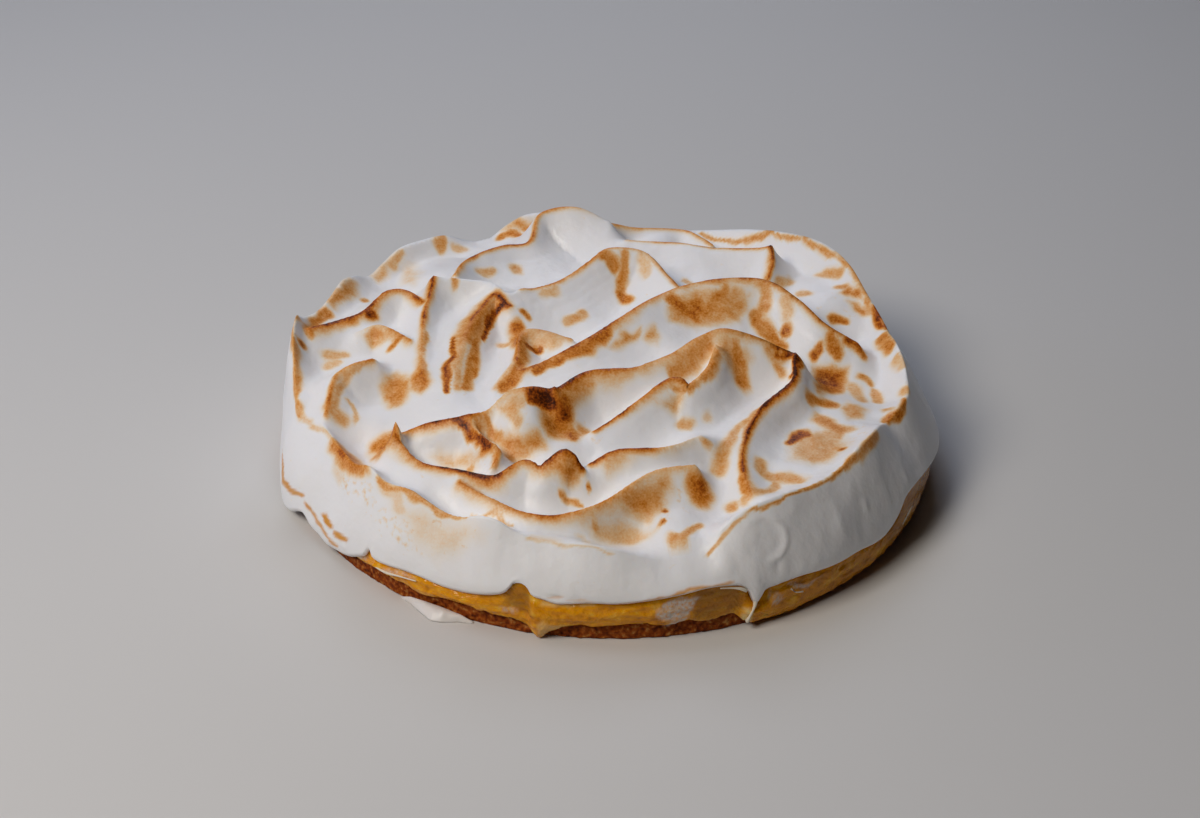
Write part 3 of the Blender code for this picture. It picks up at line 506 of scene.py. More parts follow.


# Narrow marks: depth, then x, y and half width along each. The second and third rows are painted shade: thin
# brown lines for the shadow in the crease where the front rim's top meets the wall.
STREAKS = marks("""
.4: -48,-100,.3 -45,-100,.3 -39,-102,.2 -33,-107,.2
.24: -28,-115,.2 -13,-118,.2 1,-119,.2
.2: -10,-109,.2 0,-110,.2 8,-115,.2
.5: -120,1,1 -123,-8,2 -119,-19,1.4 -118,-31,1 -115,-42,.6
.7: -117,-10,1
.3: -114,-43,.5 -106,-52,.6 -97,-64,.5
.75: -98,-66,1.5
.2: -101,-63,1.5 -101,-75,2.5
.5: -82,-86,1 -74,-93,1.2 -66,-98,1 -56,-104,.6 -49,-108,.5
.25: -81,-88,2 -77,-95,2.5 -75,-100,1.5
.45: -104,-42,2 -99,-46,2.5
.42: -88,-19,.2 -93,-24,.3 -97,-28,.5 -99,-33,.6 -101,-39,.7 -101,-45,.8
.36: -97,-37,.2 -95,-41,.4 -94,-45,.8
.4: -87,1,1.5 -79,-5,1
.6: -79,-5,.8 -84,-6,1
.4: -109,-9,1.5 -102,-7,1
.35: -108,-14,1.5 -104,-11,1
.6: -115,-2,1.5 -115,14,1.5 -112,20,1.5
.9: -93,13,2.5
.52: -72,-1,.4 -71,-9,.5 -71,-16,.7 -71,-22,1.8
.8: -60,-5,.5 -61,-16,.8 -62,-26,.6 -62,-33,.6
.62: -51,-4,1.2 -52,-15,1.4 -53,-29,1.2
.42: -57,-6,3 -58,-20,2.5 -57,-30,2
.86: -38,16,.3 -43,16,.6 -47,12,.8 -48,6,.8 -49,-1,.6
.65: -36,8,2.5 -33,-9,3 -33,-19,3 -35,-27,2.5 -38,-31,2
.4: -36,-1,1.5 -41,1,1
.35: -31,-1,2 -25,-3,2 -19,-3,1
.8: -30,-6,1 -27,-5,.8
.68: 26,18,3 30,16,3.5 35,13,2.5
.6: 39,15,2.5 41,19,2.5 46,24,2
.5: 60,26,1.5 62,23,2 61,19,1.5
.6: 59,18,2 61,13,2.5 64,8,2.5 68,4,2
.35: 69,20,1.5 70,15,2
.75: 70,10,1.8
.5: 37,-21,2 32,-26,3 28,-30,3 24,-33,2
.55: 42,-26,.9 40,-33,.8 37,-38,.6 31,-43,.4 24,-42,.4
.6: 49,-21,2 50,-25,3.5 51,-29,2.5
.45: 60,-20,1 63,-22,1 66,-25,1
.8: 64,-20,.5 72,-22,.8 72,-25,.6 69,-27,.5
.68: -28,-25,.6 -21,-20,1.2 -15,-16,2 -9,-12,2.6 -4,-7,2 1,-2,.8
.52: 97,-60,1 94,-67,1.8 90,-74,1.4 86,-79,.6
.45: 56,-48,2.5 52,-54,2
.6: 49,-82,1.5 51,-87,2
.45: 49,-91,1.2 56,-87,1.2 60,-82,1
.45: 56,-72,1.5 57,-77,1.5 63,-79,2.5 69,-80,2.5
.45: 44,-92,2.2
.45: 51,-52,2 47,-58,2.5 44,-66,2.5 41,-71,2.5 40,-75,2
.4: -34,-59,1.5 -33,-63,1.5
.5: -45,-61,1 -43,-62,1 -40,-64,1
1: -28,-53.5,1 -25,-54,1.4 -21,-54.5,1
.7: -13,-62,1.5
.5: -9,-58,2
.9: -56,-62,.2 -51,-63,.5 -48,-67,.5 -45,-72,.4 -43,-75,.2
.6: -45,-73,1 -41,-76,.8 -41,-80,.8
.5: -50,-75,1
.75: -7.5,-87.5,.5
.55: -16,-91,.2 -10,-92,.2
.5: 23,-109,2 27,-108,1 32,-103,.8
.45: -4,-104,.8
.75: 20,-96,.8
.75: 19,-102,.5
.45: 36,-68,1.5
.45: 27,-53,2 30,-53,1.5
.3: 37,-50,1.5
.6: 77,-33,1.5 81,-31,2 85,-31,2
.4: 95,-14,2 98,-24,2.5
.9: 67,-57,1.5 70,-54,2 73,-51,2.5
.7: 85,-64,1.2
.55: 99,-9,1 102,-12,1
.5: 103,-16,1 104,-25,1
.4: 104,-35,1 106,-35,.8
.7: 80,-1,1 83,1,1
.65: 87,3,1.5 89,1,2 90,-1,1.5
.75: 93,3,1 97,2,1.5 99,1,1.5
.65: 92,31,1.5 95,30,1.2
.8: 108,34,1 109,28,1.5 111,20,1
.6: 109,16,1.5 110,8,1.8 111,4,1.2
.35: 113,-4,1.5 114,-11,1.2
.45: 113,-25,2
.65: 112,-30,1 110,-37,1.5 106,-40,1.5 104,-43,1
.5: 99,-59,1.2 95,-65,2 91,-72,1.6 88,-76,1
.55: 88,-76,.8 83,-81,.4 76,-87,.2 61,-99,.2 50,-105,.2
.42: 50,-105,.2 43,-110,.5 36,-114,.3
.55: 6,50,1.5 6,44,1.5 5,37,1.5
.65: 5,35,1.5 7,31,2
.3: 14,49,2 15,42,2
.35: -25,26,1.5 -21,28,1.5
.45: -16,15,1.5 -10,19,1.2
.6: -3,48,2 0,48,2.5 2,44,1.5
.6: -46,97,1.2 -41,98,1 -35,95,1
.5: 40,103,.3 49,97,.3 65,92,.5 77,83,.3 87,74,.5 95,61,.4 101,51,.6 104,41,.8 107,32,.6
.6: -24,100,1 -16,103,2 -8,104,1.5
.45: -18,97,2 -8,97,2
.55: 2,106,1 12,107,1.6 20,106,1
.5: 14,86,1.5 24,86,2.2 31,84,1
.6: 54,83,1 62,80,1.8 70,76,1
.5: -50,79,1.5 -44,76,2
.55: 40,40,2 50,42,2.5 58,40,1.5
.65: 64,36,1.5 70,34,1
.5: -80,39,1.5 -72,38,2 -66,38,1
.5: 0,60,1.5 10,59,2 20,60,1.2
.35: -62,110,1.5 -52,115,2
.5: -72,83,2 -71,88,1.5
.35: -65,86,1.5 -62,86,1.5
.6: -62,29,1
.7: -32,14,1
.5: -38,58,2
.4: -52,51,1.2 -48,53,1.2
.6: -99,37,1.2
.4: -91,66,2 -90,69,1.5 -86,73,1
.45: 89,59,1.5 95,55,1.5
.5: 94,48,1 97,47,1
.4: 79,46,1.5 81,45,1.5
.4: 70,52,1 76,56,1
.4: 32,55,1 34,53,1
""")
# Wider marks: depth, width of the soft edge, outline
PATCHES = marks("""
.6,2: -53,17 -42,20 -37,17 -38,14 -45,14 -47,7 -49,-2 -52,-8 -57,-8 -61,-6 -58,7
.72,4: 24,17 25,13 30,11 36,11 40,16 41,20 37,22 29,21
.66,2.5: 0,-8 5,-3 13,2 13,0 11,-4 7,-6 3,-8
.6,2.5: 14,-3 16,1 19,4 20,0 18,-3 16,-4
.84,4: -25,-52 -20,-51 -14,-46 -12,-50 -12,-56 -18,-62 -22,-59 -24,-55
.66,2.5: -101,-57 -97,-60 -92,-63 -88,-69 -85,-79 -87,-85 -95,-78 -101,-70 -105,-62
.6,2: -95,1 -91,4 -87,1 -85,-2 -92,-3
.58,3: -86,-28 -84,-23 -80,-20 -77,-23 -74,-26 -74,-30 -76,-34 -78,-37 -82,-38 -84,-34
.72,3: -75,-24 -72,-20 -69,-22 -67,-27 -69,-31 -71,-33 -74,-30
.5,3: 24,8 23,14 26,19 30,22 37,24 51,26 57,24 56,19 52,14 46,12 41,9 31,8
.45,3: 37,-21 44,-18 52,-19 55,-22 52,-26 46,-28 40,-26
.5,2: -39,-56 -34,-53 -29,-53 -30,-57 -34,-60 -38,-58
.66,3: -25,-53 -20,-52 -15,-47 -10,-42 -4,-38 -6,-43 -10,-49 -12,-54 -12,-58 -8,-60 -12,-64 -17,-65 \
-23,-66 -25,-62
.58,3: -41,-64 -36,-64 -31,-67 -26,-64 -23,-67 -22,-71 -33,-73 -38,-76
.5,3: 18,-49 25,-42 29,-44 24,-49
.6,2: -52,-61.5 -45,-60 -44,-64 -46,-68 -48,-66
.38,3: -65,-68 -61,-66 -56,-68 -50,-69 -46,-73 -47,-76 -53,-73 -60,-71
.68,2: -89,-54 -83,-50 -78,-49 -75,-66 -77,-72 -84,-70
.68,2: -20,-86 -15,-82 -11,-83 -11,-87 -15,-89
.2,9: -80,-92 -71,-100 -59,-104 -48,-111 -45,-117 -62,-118 -72,-112 -79,-98
.5,2: -53,-89 -48,-89 -44,-93 -42,-97 -46,-95 -50,-93
.56,4: -10,-101 -4,-98 3,-94 10,-90 16,-87 22,-84 23,-88 20,-95 16,-99 8,-99 1,-100 -6,-102
.78,3: 27,-87 29,-84 33,-82 37,-83 39,-87 37,-91 33,-92 29,-90
.42,3: -8,-105 -3,-102 4,-100 10,-100 18,-103 12,-105 5,-107 -3,-107
.5,3: -2,-78 5,-77 10,-78 5,-81 0,-83
.76,3: 80,-4 87,-4 94,-6 94,-11 91,-17 83,-26 79,-28
.5,3: 87,-33 91,-28 96,-29 98,-34 95,-40 90,-41
.62,2: 75,-42 78,-37 82,-40 86,-45 92,-46 92,-49 88,-51 86,-57 84,-52 79,-48
.42,6: 67,-68 67,-55 71,-53 77,-49 83,-47 88,-52 87,-63 81,-71 75,-72
.7,2: 97,40 101,39 105,35 106,31 103,32 99,36
.8,2: 94,44 98,47 103,43 102,40 98,42
.6,3: -46,101 -40,105 -33,104 -33,99 -40,100
.65,3: -113,24 -110,33 -105,44 -102,46 -102,38 -106,30 -109,24
.5,3: -99,58 -95,66 -91,66 -93,60 -96,55
.25,4: -86,67 -81,71 -77,60 -79,51 -85,55
""")
# Places with fine brown dots: strength, width of the soft edge, outline
SPATTER = marks("""
.8,8: -101,-66 -90,-84 -80,-92 -71,-100 -59,-104 -48,-111 -45,-117 -62,-120 -78,-114 -96,-92 -104,-76
.7,5: -12,-94 4,-95 17,-87 36,-84 38,-92 18,-103 -3,-107
.6,5: -62,-10 -50,-8 -52,-34 -64,-34
.5,6: 78,-40 96,-40 98,-58 84,-66 68,-62
.5,6: -40,-50 -8,-44 0,-66 -30,-72
.4,6: 70,40 100,50 104,30 84,20
.6,8: -84,98 -56,112 -10,122 -12,132 -60,126 -90,106
.5,6: -30,106 0,108 24,106 20,96 -26,94
""")
SOFT_EDGE = 1.8  # mm, the widest fading edge of a mark
FINE_EDGE = 0.6  # mm, the edge of a mark with no width
CORE_WIDTH = 5.0  # mm inside a patch's outline where it is deepest
CORE_SHARE = 0.25  # how much shallower it is at its outline
print(len(STREAKS) + len(PATCHES), "marks and", len(SPATTER), "spattered places")

# %% [markdown]
# ## From marks to depth
#
# Every point of the surface takes the deepest of all the marks over it. Real browning has no ruled
# edges, so the point's place is first shifted a little by noise, which makes all outlines waver.

# %% Depth of the browning
WAVER = ((5.0, 1.2), (2.2, 0.35))  # size and height of the outlines' waves
MARGIN = 12.0  # mm round a mark beyond which it leaves nothing


def outline_distance(outline, x, y):
    """Distance of each (x, y) to a closed outline: below 0 inside it."""
    corners = np.array([(*p, 0.0) for p in (*outline, outline[0])])
    inside = np.zeros(len(x), bool)
    for (ax, ay, _), (bx, by, _) in zip(corners, corners[1:]):
        if ay != by:
            inside ^= ((ay > y) != (by > y)) & (x < ax + (bx - ax) * (y - ay) / (by - ay))
    return np.where(inside, -1, 1) * nearest_on(corners, x, y)[0]


def around(x, y, places):
    """Which (x, y) lie in the box round the places of a mark."""
    flat = np.array(places)[:, :2]
    low, high = flat.min(0) - MARGIN, flat.max(0) + MARGIN
    return np.flatnonzero((x > low[0]) & (x < high[0]) & (y > low[1]) & (y < high[1]))


def painted(rows, x, y):
    """The strongest of some outlined marks over each (x, y): strength, soft edge, outline."""
    strength = np.zeros(len(x))
    for most, edge, outline in rows:
        near = around(x, y, outline)
        away = outline_distance(outline, x[near], y[near])
        strength[near] = np.maximum(strength[near], most * soft_step(0.5 - away / edge))
    return strength


def browning_and_crease_shade(x, y):
    """How deeply the torch browned the meringue at (x, y), with the painted shade of the crease along the
    front rim: 0 is white, 1 is dark brown.
    """
    deepest, bent = np.zeros(len(x)), [x, y]
    for axis, seed in ((0, 41), (1, 43)):
        for k, (size, height) in enumerate(WAVER):
            bent[axis] = bent[axis] + height * lumps(x, y, size, seed + k)
    bent = np.array(bent)
    for name, rows in TORCHED.items():
        near = around(x, y, crests[name])
        shares, *columns = np.array(points(rows)).T
        distance, side, _, share, _, _ = nearest_on(crests[name], x[near], y[near])
        depth, right, left = (np.interp(share, shares, column) for column in columns)
        reach = right + (left - right) * (1.0 + side) / 2
        reach = reach * (1.0 + 0.5 * lumps(*bent[:, near], 4.0, 45))
        line = 1.0 - LINE_SHARE + LINE_DEPTH * np.exp(-((distance / CREST_LINE) ** 2))
        uneven = 1.0 + 0.25 * lumps(*bent[:, near], 7.0, 46)
        band = depth * uneven * line * soft_step(1.15 - distance / (reach + BAND_EDGE))
        deepest[near] = np.maximum(deepest[near], band)
    for depth, places in STREAKS:
        near = around(x, y, places)
        line = smooth_stroke(places, 1.0) if len(places) > 1 else np.array(places * 2)
        distance, _, width, _, _, _ = nearest_on(line, *bent[:, near])
        edge = np.minimum(SOFT_EDGE, FINE_EDGE + width)
        mark = depth * soft_step(1.3 - 1.2 * distance / (width + edge))
        deepest[near] = np.maximum(deepest[near], mark)
    for depth, edge, outline in PATCHES:
        near = around(x, y, outline)
        distance = outline_distance(outline, *bent[:, near])
        core = 1.0 - CORE_SHARE * soft_step(1.0 + distance / CORE_WIDTH)
        mark = depth * core * soft_step(0.5 - distance / (edge + SOFT_EDGE))
        deepest[near] = np.maximum(deepest[near], mark)
    return deepest


def spatter_strength(x, y):
    """How thickly fine brown dots lie at (x, y)."""
    return painted(SPATTER, x, y) * (0.75 + 0.5 * lumps(x, y, 8.0, 47))


print("depth on one crest:", browning_and_crease_shade(np.array([-62.0]), np.array([-26.0])).round(2))

# %% [markdown]
# ## Smears on the side
#
# When the cap was spread, a film of meringue was dragged down over the curd and the crust, and
# some curd was dragged up over the meringue. Both are too thin to be pieces of their own, so they
# are painted: outlines by azimuth and height are stored on the points, and each material mixes in
# the other colour there. The curd also gets painted shade in its recesses and on its shaded right
# side, and a painted highlight where the light catches the drip.

# %% Smears
# Meringue over curd and crust: strength, outline by azimuth and height
FILMS = marks("""
1: -82.6,12.5 -81.2,16.2 -78.5,17.8 -75.3,17 -76.6,12 -77.3,8 -79,5.8 -79.7,4.4 -80.6,5.5 -79.5,8.3 \
-81.6,9.3
.5: -63.5,13 -62,13.5 -60.5,9 -62.3,8
.8: -62.9,10.6 -61.6,11 -61.4,9.4 -62.8,9.2
.9: -59.5,15 -58.4,12 -56,10.4 -53.4,12 -56,11.6 -57.6,13
.6: -129.5,10.4 -125,12.4 -122.4,12.6 -122.6,11.6 -125,11.4 -129,9.4
1: -146,12 -143.5,13 -140.5,10.8 -137,9.5 -133.5,11.3 -134,8.5 -138.5,6.5 -143,8.5
.5: -107,11 -104.6,10.4 -104.4,8.4 -106.6,9
""")
# Curd over the meringue's wall
CURD_SMEARS = marks("""
.9: -88,17.6 -82,19.9 -77,22.4 -70,22.6 -69.4,21.9 -77,21.3 -82,18.7 -88,16.6
.5: -99.4,18.8 -98,19.7 -96.7,19 -98,18.5
.5: -96,18.4 -94,19.1 -92,18.8 -94,18.2
.95: -162,24 -160.4,17 -159.5,12.5 -156,13 -151.5,16 -151.3,17.8 -155.5,15.6 -158.3,16 -160,21
1: -145.8,15.6 -144.4,17 -143,16 -142,14.8 -143,12.6 -144.7,13
1: -141.9,13.6 -139.8,14.4 -137.6,14.6 -137.8,12.9 -139.9,11.4 -141.5,11.6
.9: -150.6,15.6 -149.5,14 -147,12.9 -145.3,11.2 -143.8,10 -142.2,9.3 -140.2,8.5 -140.2,7.2 -142.4,7.7 \
-144.2,8.3 -145.8,9.5 -147.4,11 -149.6,12.2 -151,14
""")
# Painted shade: the curd darkened in the recess beside the icicle, in the arch under the skirt and on its
# shaded right side
PAINTED_SHADE_CURD = marks("""
.65: -76,13 -75.6,20 -73,20.5 -69,19.5 -67.6,15 -67.8,9 -70,7.5 -73,6 -76.5,7
.75: -106.2,12 -105.8,18 -104.6,23 -102.7,22 -102.1,16 -101.4,10 -103,9
.6: -36,12 -33,18 -29,21 -20,20 -8,17 -6,2 -34,2
""")
# Painted highlight: the curd made paler where the light catches the drip, the icicle's foot and the edge
# beside the drip
PAINTED_HIGHLIGHT_CURD = marks("""
.4: -100.8,8 -100,9 -98,7 -96.4,6 -99,2 -100.6,1 -101.2,4
.8: -67.6,9 -66.6,9 -66,4 -66.8,2.4 -67.8,4
.5: -100,17 -98,16 -92,17 -92,15.8 -98,14.6 -100.4,15
""")
SMEAR_EDGE = 1.2  # mm over which a smear fades out
PAINTED_SHADE_EDGE = 3.5  # the same for the painted shade on the curd
SIDE_STARTS = 120.0  # radius outside which a point belongs to the side
ARC = CURD_RADIUS * math.pi / 180  # mm of the side for each degree


def smeared(places, outlines, edge=SMEAR_EDGE):
    """How strongly each place on the side is covered by the smears with these outlines."""
    x, y, height = np.array(places).T
    across = np.degrees(np.arctan2(y, x)) * ARC
    across += 0.8 * lumps(across, height, 2.5, 81)
    height = height + 0.4 * lumps(across, height, 2.0, 82)
    rows = [(most, edge, [(a * ARC, z) for a, z in outline]) for most, outline in outlines]
    return np.where(np.hypot(x, y) > SIDE_STARTS, painted(rows, across, height), 0.0)


print(len(FILMS), "films of meringue and", len(CURD_SMEARS), "smears of curd")

# %% [markdown]
# ## Building a piece
#
# Every layer is one closed surface made of rings of points with faces between them. A small class
# gathers them and puts the finished piece into the frame, with the solid that it replaces. Numbers
# for its material are kept on its points.


# %% A closed surface
class Shell:
    """Points and faces of one closed surface, gathered ring by ring."""

    def __init__(self):
        self.points, self.faces = [], []

    def add(self, places):
        self.points.extend(map(tuple, places))
        return list(range(len(self.points) - len(places), len(self.points)))

    def bridge(self, inner, outer):
        """Quads between two rings; seen from the side they face, outer is above."""
        self.faces.extend(zip(inner, inner[1:] + inner[:1], outer[1:] + outer[:1], outer))

    def stack(self, rings):
        """Adds rings from the bottom up with quads between them, and gives the two end rings."""
        loops = [self.add(places) for places in rings]
        for lower, upper in zip(loops, loops[1:]):
            self.bridge(lower, upper)
        return loops[0], loops[-1]

    def fan(self, loop, centre, facing_up):
        hub = self.add([centre])[0]
        for a, b in zip(loop, loop[1:] + loop[:1]):
            self.faces.append((a, b, hub) if facing_up else (b, a, hub))

    def build(self, name, material, node, stored=()):
        """The finished piece, riding on the pie, with a number for each point under each name."""
        mesh = bpy.data.meshes.new(name)
        mesh.from_pydata([Vector(p) * MM for p in self.points], [], self.faces)
        mesh.update()
        mesh.shade_smooth()
        mesh.materials.append(material)
        for title, values in dict(stored).items():
            layer = mesh.attributes.new(title, "FLOAT", "POINT")
            layer.data.foreach_set("value", np.asarray(values, np.float32))
        piece = show(name, mesh)
        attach(piece, "root")
        if node:
            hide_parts(node)
        print(name, "has", len(mesh.polygons), "faces")


# %% [markdown]
# ## The net over the folds
#
# The top is a net of triangles about a millimetre across, with points along every crest so that
# the crests stay crisp. An even grid would cut across them and leave them jagged.

# %% Net of the top
TOP_SPACING = 1.05
CLEARANCE = 0.6 * TOP_SPACING  # how far points of the net stay from crests and rim
CREST_LIMIT = 109.0  # radius beyond which a crest has run into the rim


def top_net():
    """Triangles over the inside of the rim: their (x, y) spots, the rim's first, and their faces."""
    spots = [tuple(p[:2]) for p in rim]
    edges = [(k, (k + 1) % COLUMNS) for k in range(COLUMNS)]
    for crest in crests.values():
        inside = crest[np.hypot(crest[:, 0], crest[:, 1]) < CREST_LIMIT][:, :2]
        start = len(spots)
        spots.extend(map(tuple, inside))
        edges.extend((start + k, start + k + 1) for k in range(len(inside) - 1))
    taken = kdtree.KDTree(len(spots))
    for k, spot in enumerate(spots):
        taken.insert((*spot, 0.0), k)
    taken.balance()
    reach = math.ceil(SKIRT_RADIUS / TOP_SPACING)
    row, column = np.mgrid[-reach : reach + 1, -reach : reach + 1]
    x = ((column + 0.5 * (row % 2)) * TOP_SPACING).ravel()
    y = (row * TOP_SPACING * math.sqrt(0.75)).ravel()
    limit = periodic(RIM, np.degrees(np.arctan2(y, x)))[:, 0] - CLEARANCE
    inside = np.hypot(x, y) < limit
    grid = zip(x[inside], y[inside])
    spots.extend(spot for spot in grid if taken.find((*spot, 0.0))[2] > CLEARANCE)
    net = geometry.delaunay_2d_cdt([Vector(p) for p in spots], edges, [list(range(COLUMNS))], 2, 1e-5)
    return np.array([tuple(p) for p in net[0]]), [tuple(face) for face in net[2]]


spots, triangles = top_net()
top = meringue_top(*spots.T)
top[:COLUMNS] = rim
print("the net has", len(spots), "points")

# %% [markdown]
# ## The wall's shape
#
# The spatula left the wall wavy, with small swellings, slits over the curd and one round dent whose
# right edge is pushed up. The curd holds the cap up from inside: their joint is a shallow step.

# %% Wall and joint
# Small swellings and dents: azimuth, height, half width, half height, how far out
WALL_SPOTS = points("""
-40.8,28.7,1,2.2,.6 -28.2,28,1.2,2.5,.5 -71,28,3,4,.5 -62,23.5,1.5,2,-.5 -98,19,2.2,.8,-.7 -94,18.6,3,.7,-.5
-142,7.5,3,2.2,.9 -147,10,2.2,2.4,.7 -144.6,6.2,1.6,1.4,-.9 -149.6,12,1,4,-.7 -138.5,9.5,2,1.6,.5
-154,20,4,5,.6 -66,20,1.6,4,.35 -48,28,2.5,8,.3 -35,30,3,9,.3 -31,22,1.2,8,-.25
""")
DIMPLE = (-63.6, 33, 8.2, 6.4)  # a round dent: azimuth, height, half width, half height
DIMPLE_DEPTH, DIMPLE_SLOPE = 0.4, 0.4  # how deep it is, and how wide its slope in half widths
RING_PLACE, RING_WIDTH, RING_HEIGHT = 1.1, 0.14, 0.55  # the pushed-up edge, in half widths and mm
JOINT_GAP = 0.15  # half the clearance to the curd
JOINT_RADII = (116.0, 106.0, 96.0)  # rings of the joint with the curd; it is flat inside the last
JOINT_LOWEST = 12.6
SKIRT_LAP = 1.4  # how far the skirt hangs below the joint


def layer_joint(radius):
    """Height of the joint between curd and meringue at this radius."""
    at_edge = np.maximum(skirt_height + SKIRT_LAP, JOINT_LOWEST)
    outwards = soft_step((radius - JOINT_RADII[-1]) / (CURD_RADIUS - JOINT_RADII[-1]))
    return CURD_TOP + (at_edge - CURD_TOP) * outwards


def wall_relief(height):
    """How far the wall stands out or in at this height, in each column."""
    arc = angles * SKIRT_RADIUS
    relief = 0.5 * lumps(arc, height, 13.0, 51) + 0.15 * lumps(arc, 0.5 * height, 3.5, 52)
    for azimuth, level, half_width, half_height, out in WALL_SPOTS:
        across = (arc - math.radians(azimuth) * SKIRT_RADIUS) / half_width
        relief += out * np.exp(-(across**2) - ((height - level) / half_height) ** 2)
    azimuth, level, half_width, half_height = DIMPLE
    across = (arc - math.radians(azimuth) * SKIRT_RADIUS) / half_width
    upper = (height - level) / half_height
    outside = np.hypot(across, upper) - RING_PLACE
    on_right = soft_step(0.6 + across + 0.4 * upper)
    relief -= DIMPLE_DEPTH * soft_step(-outside / DIMPLE_SLOPE)
    return relief + RING_HEIGHT * on_right * np.exp(-((outside / RING_WIDTH) ** 2))


print("the joint is", round(layer_joint(CURD_RADIUS).max(), 1), "mm high at most")

# %% [markdown]
# ## The meringue's mesh
#
# The wall is a stack of rings from the rim down to the skirt's lip, and the net and the rings share
# the rim's points. The underside is closed where it meets the curd. For the torch marks the wall
# counts as unrolled flat outside the rim, so that a mark can run over the rim.

# %% Build the meringue
WALL_RINGS = 36
LIP_HEIGHT = 1.5
LIP_TUCK = 1.2

cap = Shell()
above = cap.add(top)[:COLUMNS]
cap.faces.extend(triangles)
unrolled = [*spots]
last_radius, last_height, down = rim_radius, rim_height, 0.0
for share in np.arange(1, WALL_RINGS + 1) / WALL_RINGS:
    height = rim_height + (skirt_height + LIP_HEIGHT - rim_height) * share
    fallen = np.clip((rim_height - height) / (rim_height - even_height - LIP_HEIGHT), 0.0, 1.0)
    radius = foot_radius - (foot_radius - rim_radius) * (1.0 - fallen) ** fullness
    radius = radius + wall_relief(height) * min(1.0, 4 * share) * min(1.0, 8 * (1 - share))
    down = down + np.hypot(radius - last_radius, height - last_height)
    last_radius, last_height = radius, height
    below = cap.add(ring(radius, height))
    unrolled.extend(ring(rim_radius + down, 0.0)[:, :2])
    cap.bridge(below, above)
    above = below
unrolled = np.array(unrolled)
for radius, height in (
    (np.maximum(radius - LIP_TUCK, SKIRT_RADIUS), skirt_height),
    (SKIRT_RADIUS, skirt_height),
    (SKIRT_RADIUS, layer_joint(CURD_RADIUS) + JOINT_GAP),
    *((r, layer_joint(r) + JOINT_GAP) for r in JOINT_RADII),
):
    below = cap.add(ring(radius, height))
    cap.bridge(below, above)
    above = below
cap.fan(above, (0.0, 0.0, CURD_TOP + JOINT_GAP), False)
print("the meringue has", len(cap.points), "points")

# %% [markdown]
# ## Torched meringue
#
# Meringue is egg white and sugar whipped to a foam, which scatters light like snow and keeps a
# faint satin shine from its sugar. The torch turned that sugar to caramel: pale gold, orange
# brown, then almost black, and dull. The depth stored on the points picks the colour, and noise of
# a few millimetres breaks it up, as the real browning is mottled.

# %% Torched meringue
GRAINS = (  # what each noise is for, its size in mm and its octaves
    ("mottle", 3.0, 3.0), ("speckle", 0.8, 1.0),  # patches in the browning, and its finest dots
    ("dots", 2.4, 5.0),  # the spattered flecks
    ("foam", 1.4, 3.0), ("spread", 6.0, 2.0),  # the foam's grain, and what the spatula left uneven
)
UNEVEN = (("mottle", 0.82, 1.12), ("speckle", 0.86, 1.1))  # range by which they scale the depth
BROWNING = (  # depth, colour
    (0.00, "#F4F3F3"), (0.14, "#F4E8D8"), (0.30, "#F0CA9A"), (0.47, "#E4A25A"), (0.62, "#D07E26"),
    (0.76, "#A85412"), (0.90, "#743408"), (1.00, "#441C08"),
)
DOT_DEPTH = 0.36
SMEAR_COLOUR = "#DE9628"

torched, node, shader = new_material("torched meringue")
place = node("TexCoord")["Object"]
# The first attribute holds the torch's browning and also the painted shade of the crease along the front
# rim.
toast_and_crease_shade, scattered, smear = (
    node("Attribute", attribute_name=name)["Fac"] for name in ("toast_and_crease_shade", "spatter", "curd smear")
)
grain = {}
for name, size, detail in GRAINS:
    inputs = {"Vector": place, "Scale": 1 / (size * MM), "Detail": detail}
    grain[name] = node("TexNoise", inputs)["Fac"]
deep = toast_and_crease_shade
for name, least, most in UNEVEN:
    factor = node("MapRange", {"Value": grain[name], 1: 0.3, 2: 0.7, 3: least, 4: most})[0]
    deep = node("Math", {0: deep, 1: factor}, operation="MULTIPLY")[0]
dense = node("Math", {0: scattered, 1: 0.3, 2: grain["dots"]}, operation="MULTIPLY_ADD")[0]
dotted = node("MapRange", {"Value": dense, 1: 0.69, 2: 1.0, 3: 0.0, 4: DOT_DEPTH})[0]
browned = node("Math", {0: deep, 1: dotted}, operation="MAXIMUM")[0]
caramel = node("ValToRGB", {"Fac": browned}, BROWNING)["Color"]
stain = {"Factor": smear, 6: caramel, 7: linear(SMEAR_COLOUR)}
waves = {"Height": grain["spread"], "Strength": 0.3, "Distance": 1.2 * MM}
relief = {"Height": grain["foam"], "Strength": 0.15, "Distance": 0.5 * MM}
relief["Normal"] = node("Bump", waves)["Normal"]
fill(shader, {
    "Base Color": node("Mix", stain, data_type="RGBA")[2],
    "Normal": node("Bump", relief)["Normal"],  # a soft, slightly pitted surface
    "Specular IOR Level": node("MapRange", {"Value": browned, 1: 0.1, 2: 0.6, 3: 0.5, 4: 0.2})[0],
    "Roughness": 0.42, "IOR": 1.45,
    "Subsurface Weight": 0.2, "Subsurface Scale": 4 * MM,  # the glow of light inside the foam
    "Subsurface Radius": (1.0, 0.85, 0.72),
})
unseen = np.zeros(len(cap.points) - len(unrolled))  # the lip and the underside
cap.build("meringue_swirls", torched, "meringue", {
    "toast_and_crease_shade": np.concatenate([browning_and_crease_shade(*unrolled.T), unseen]),
    "spatter": np.concatenate([spatter_strength(*unrolled.T), unseen]),
    "curd smear": smeared(cap.points, CURD_SMEARS),
})

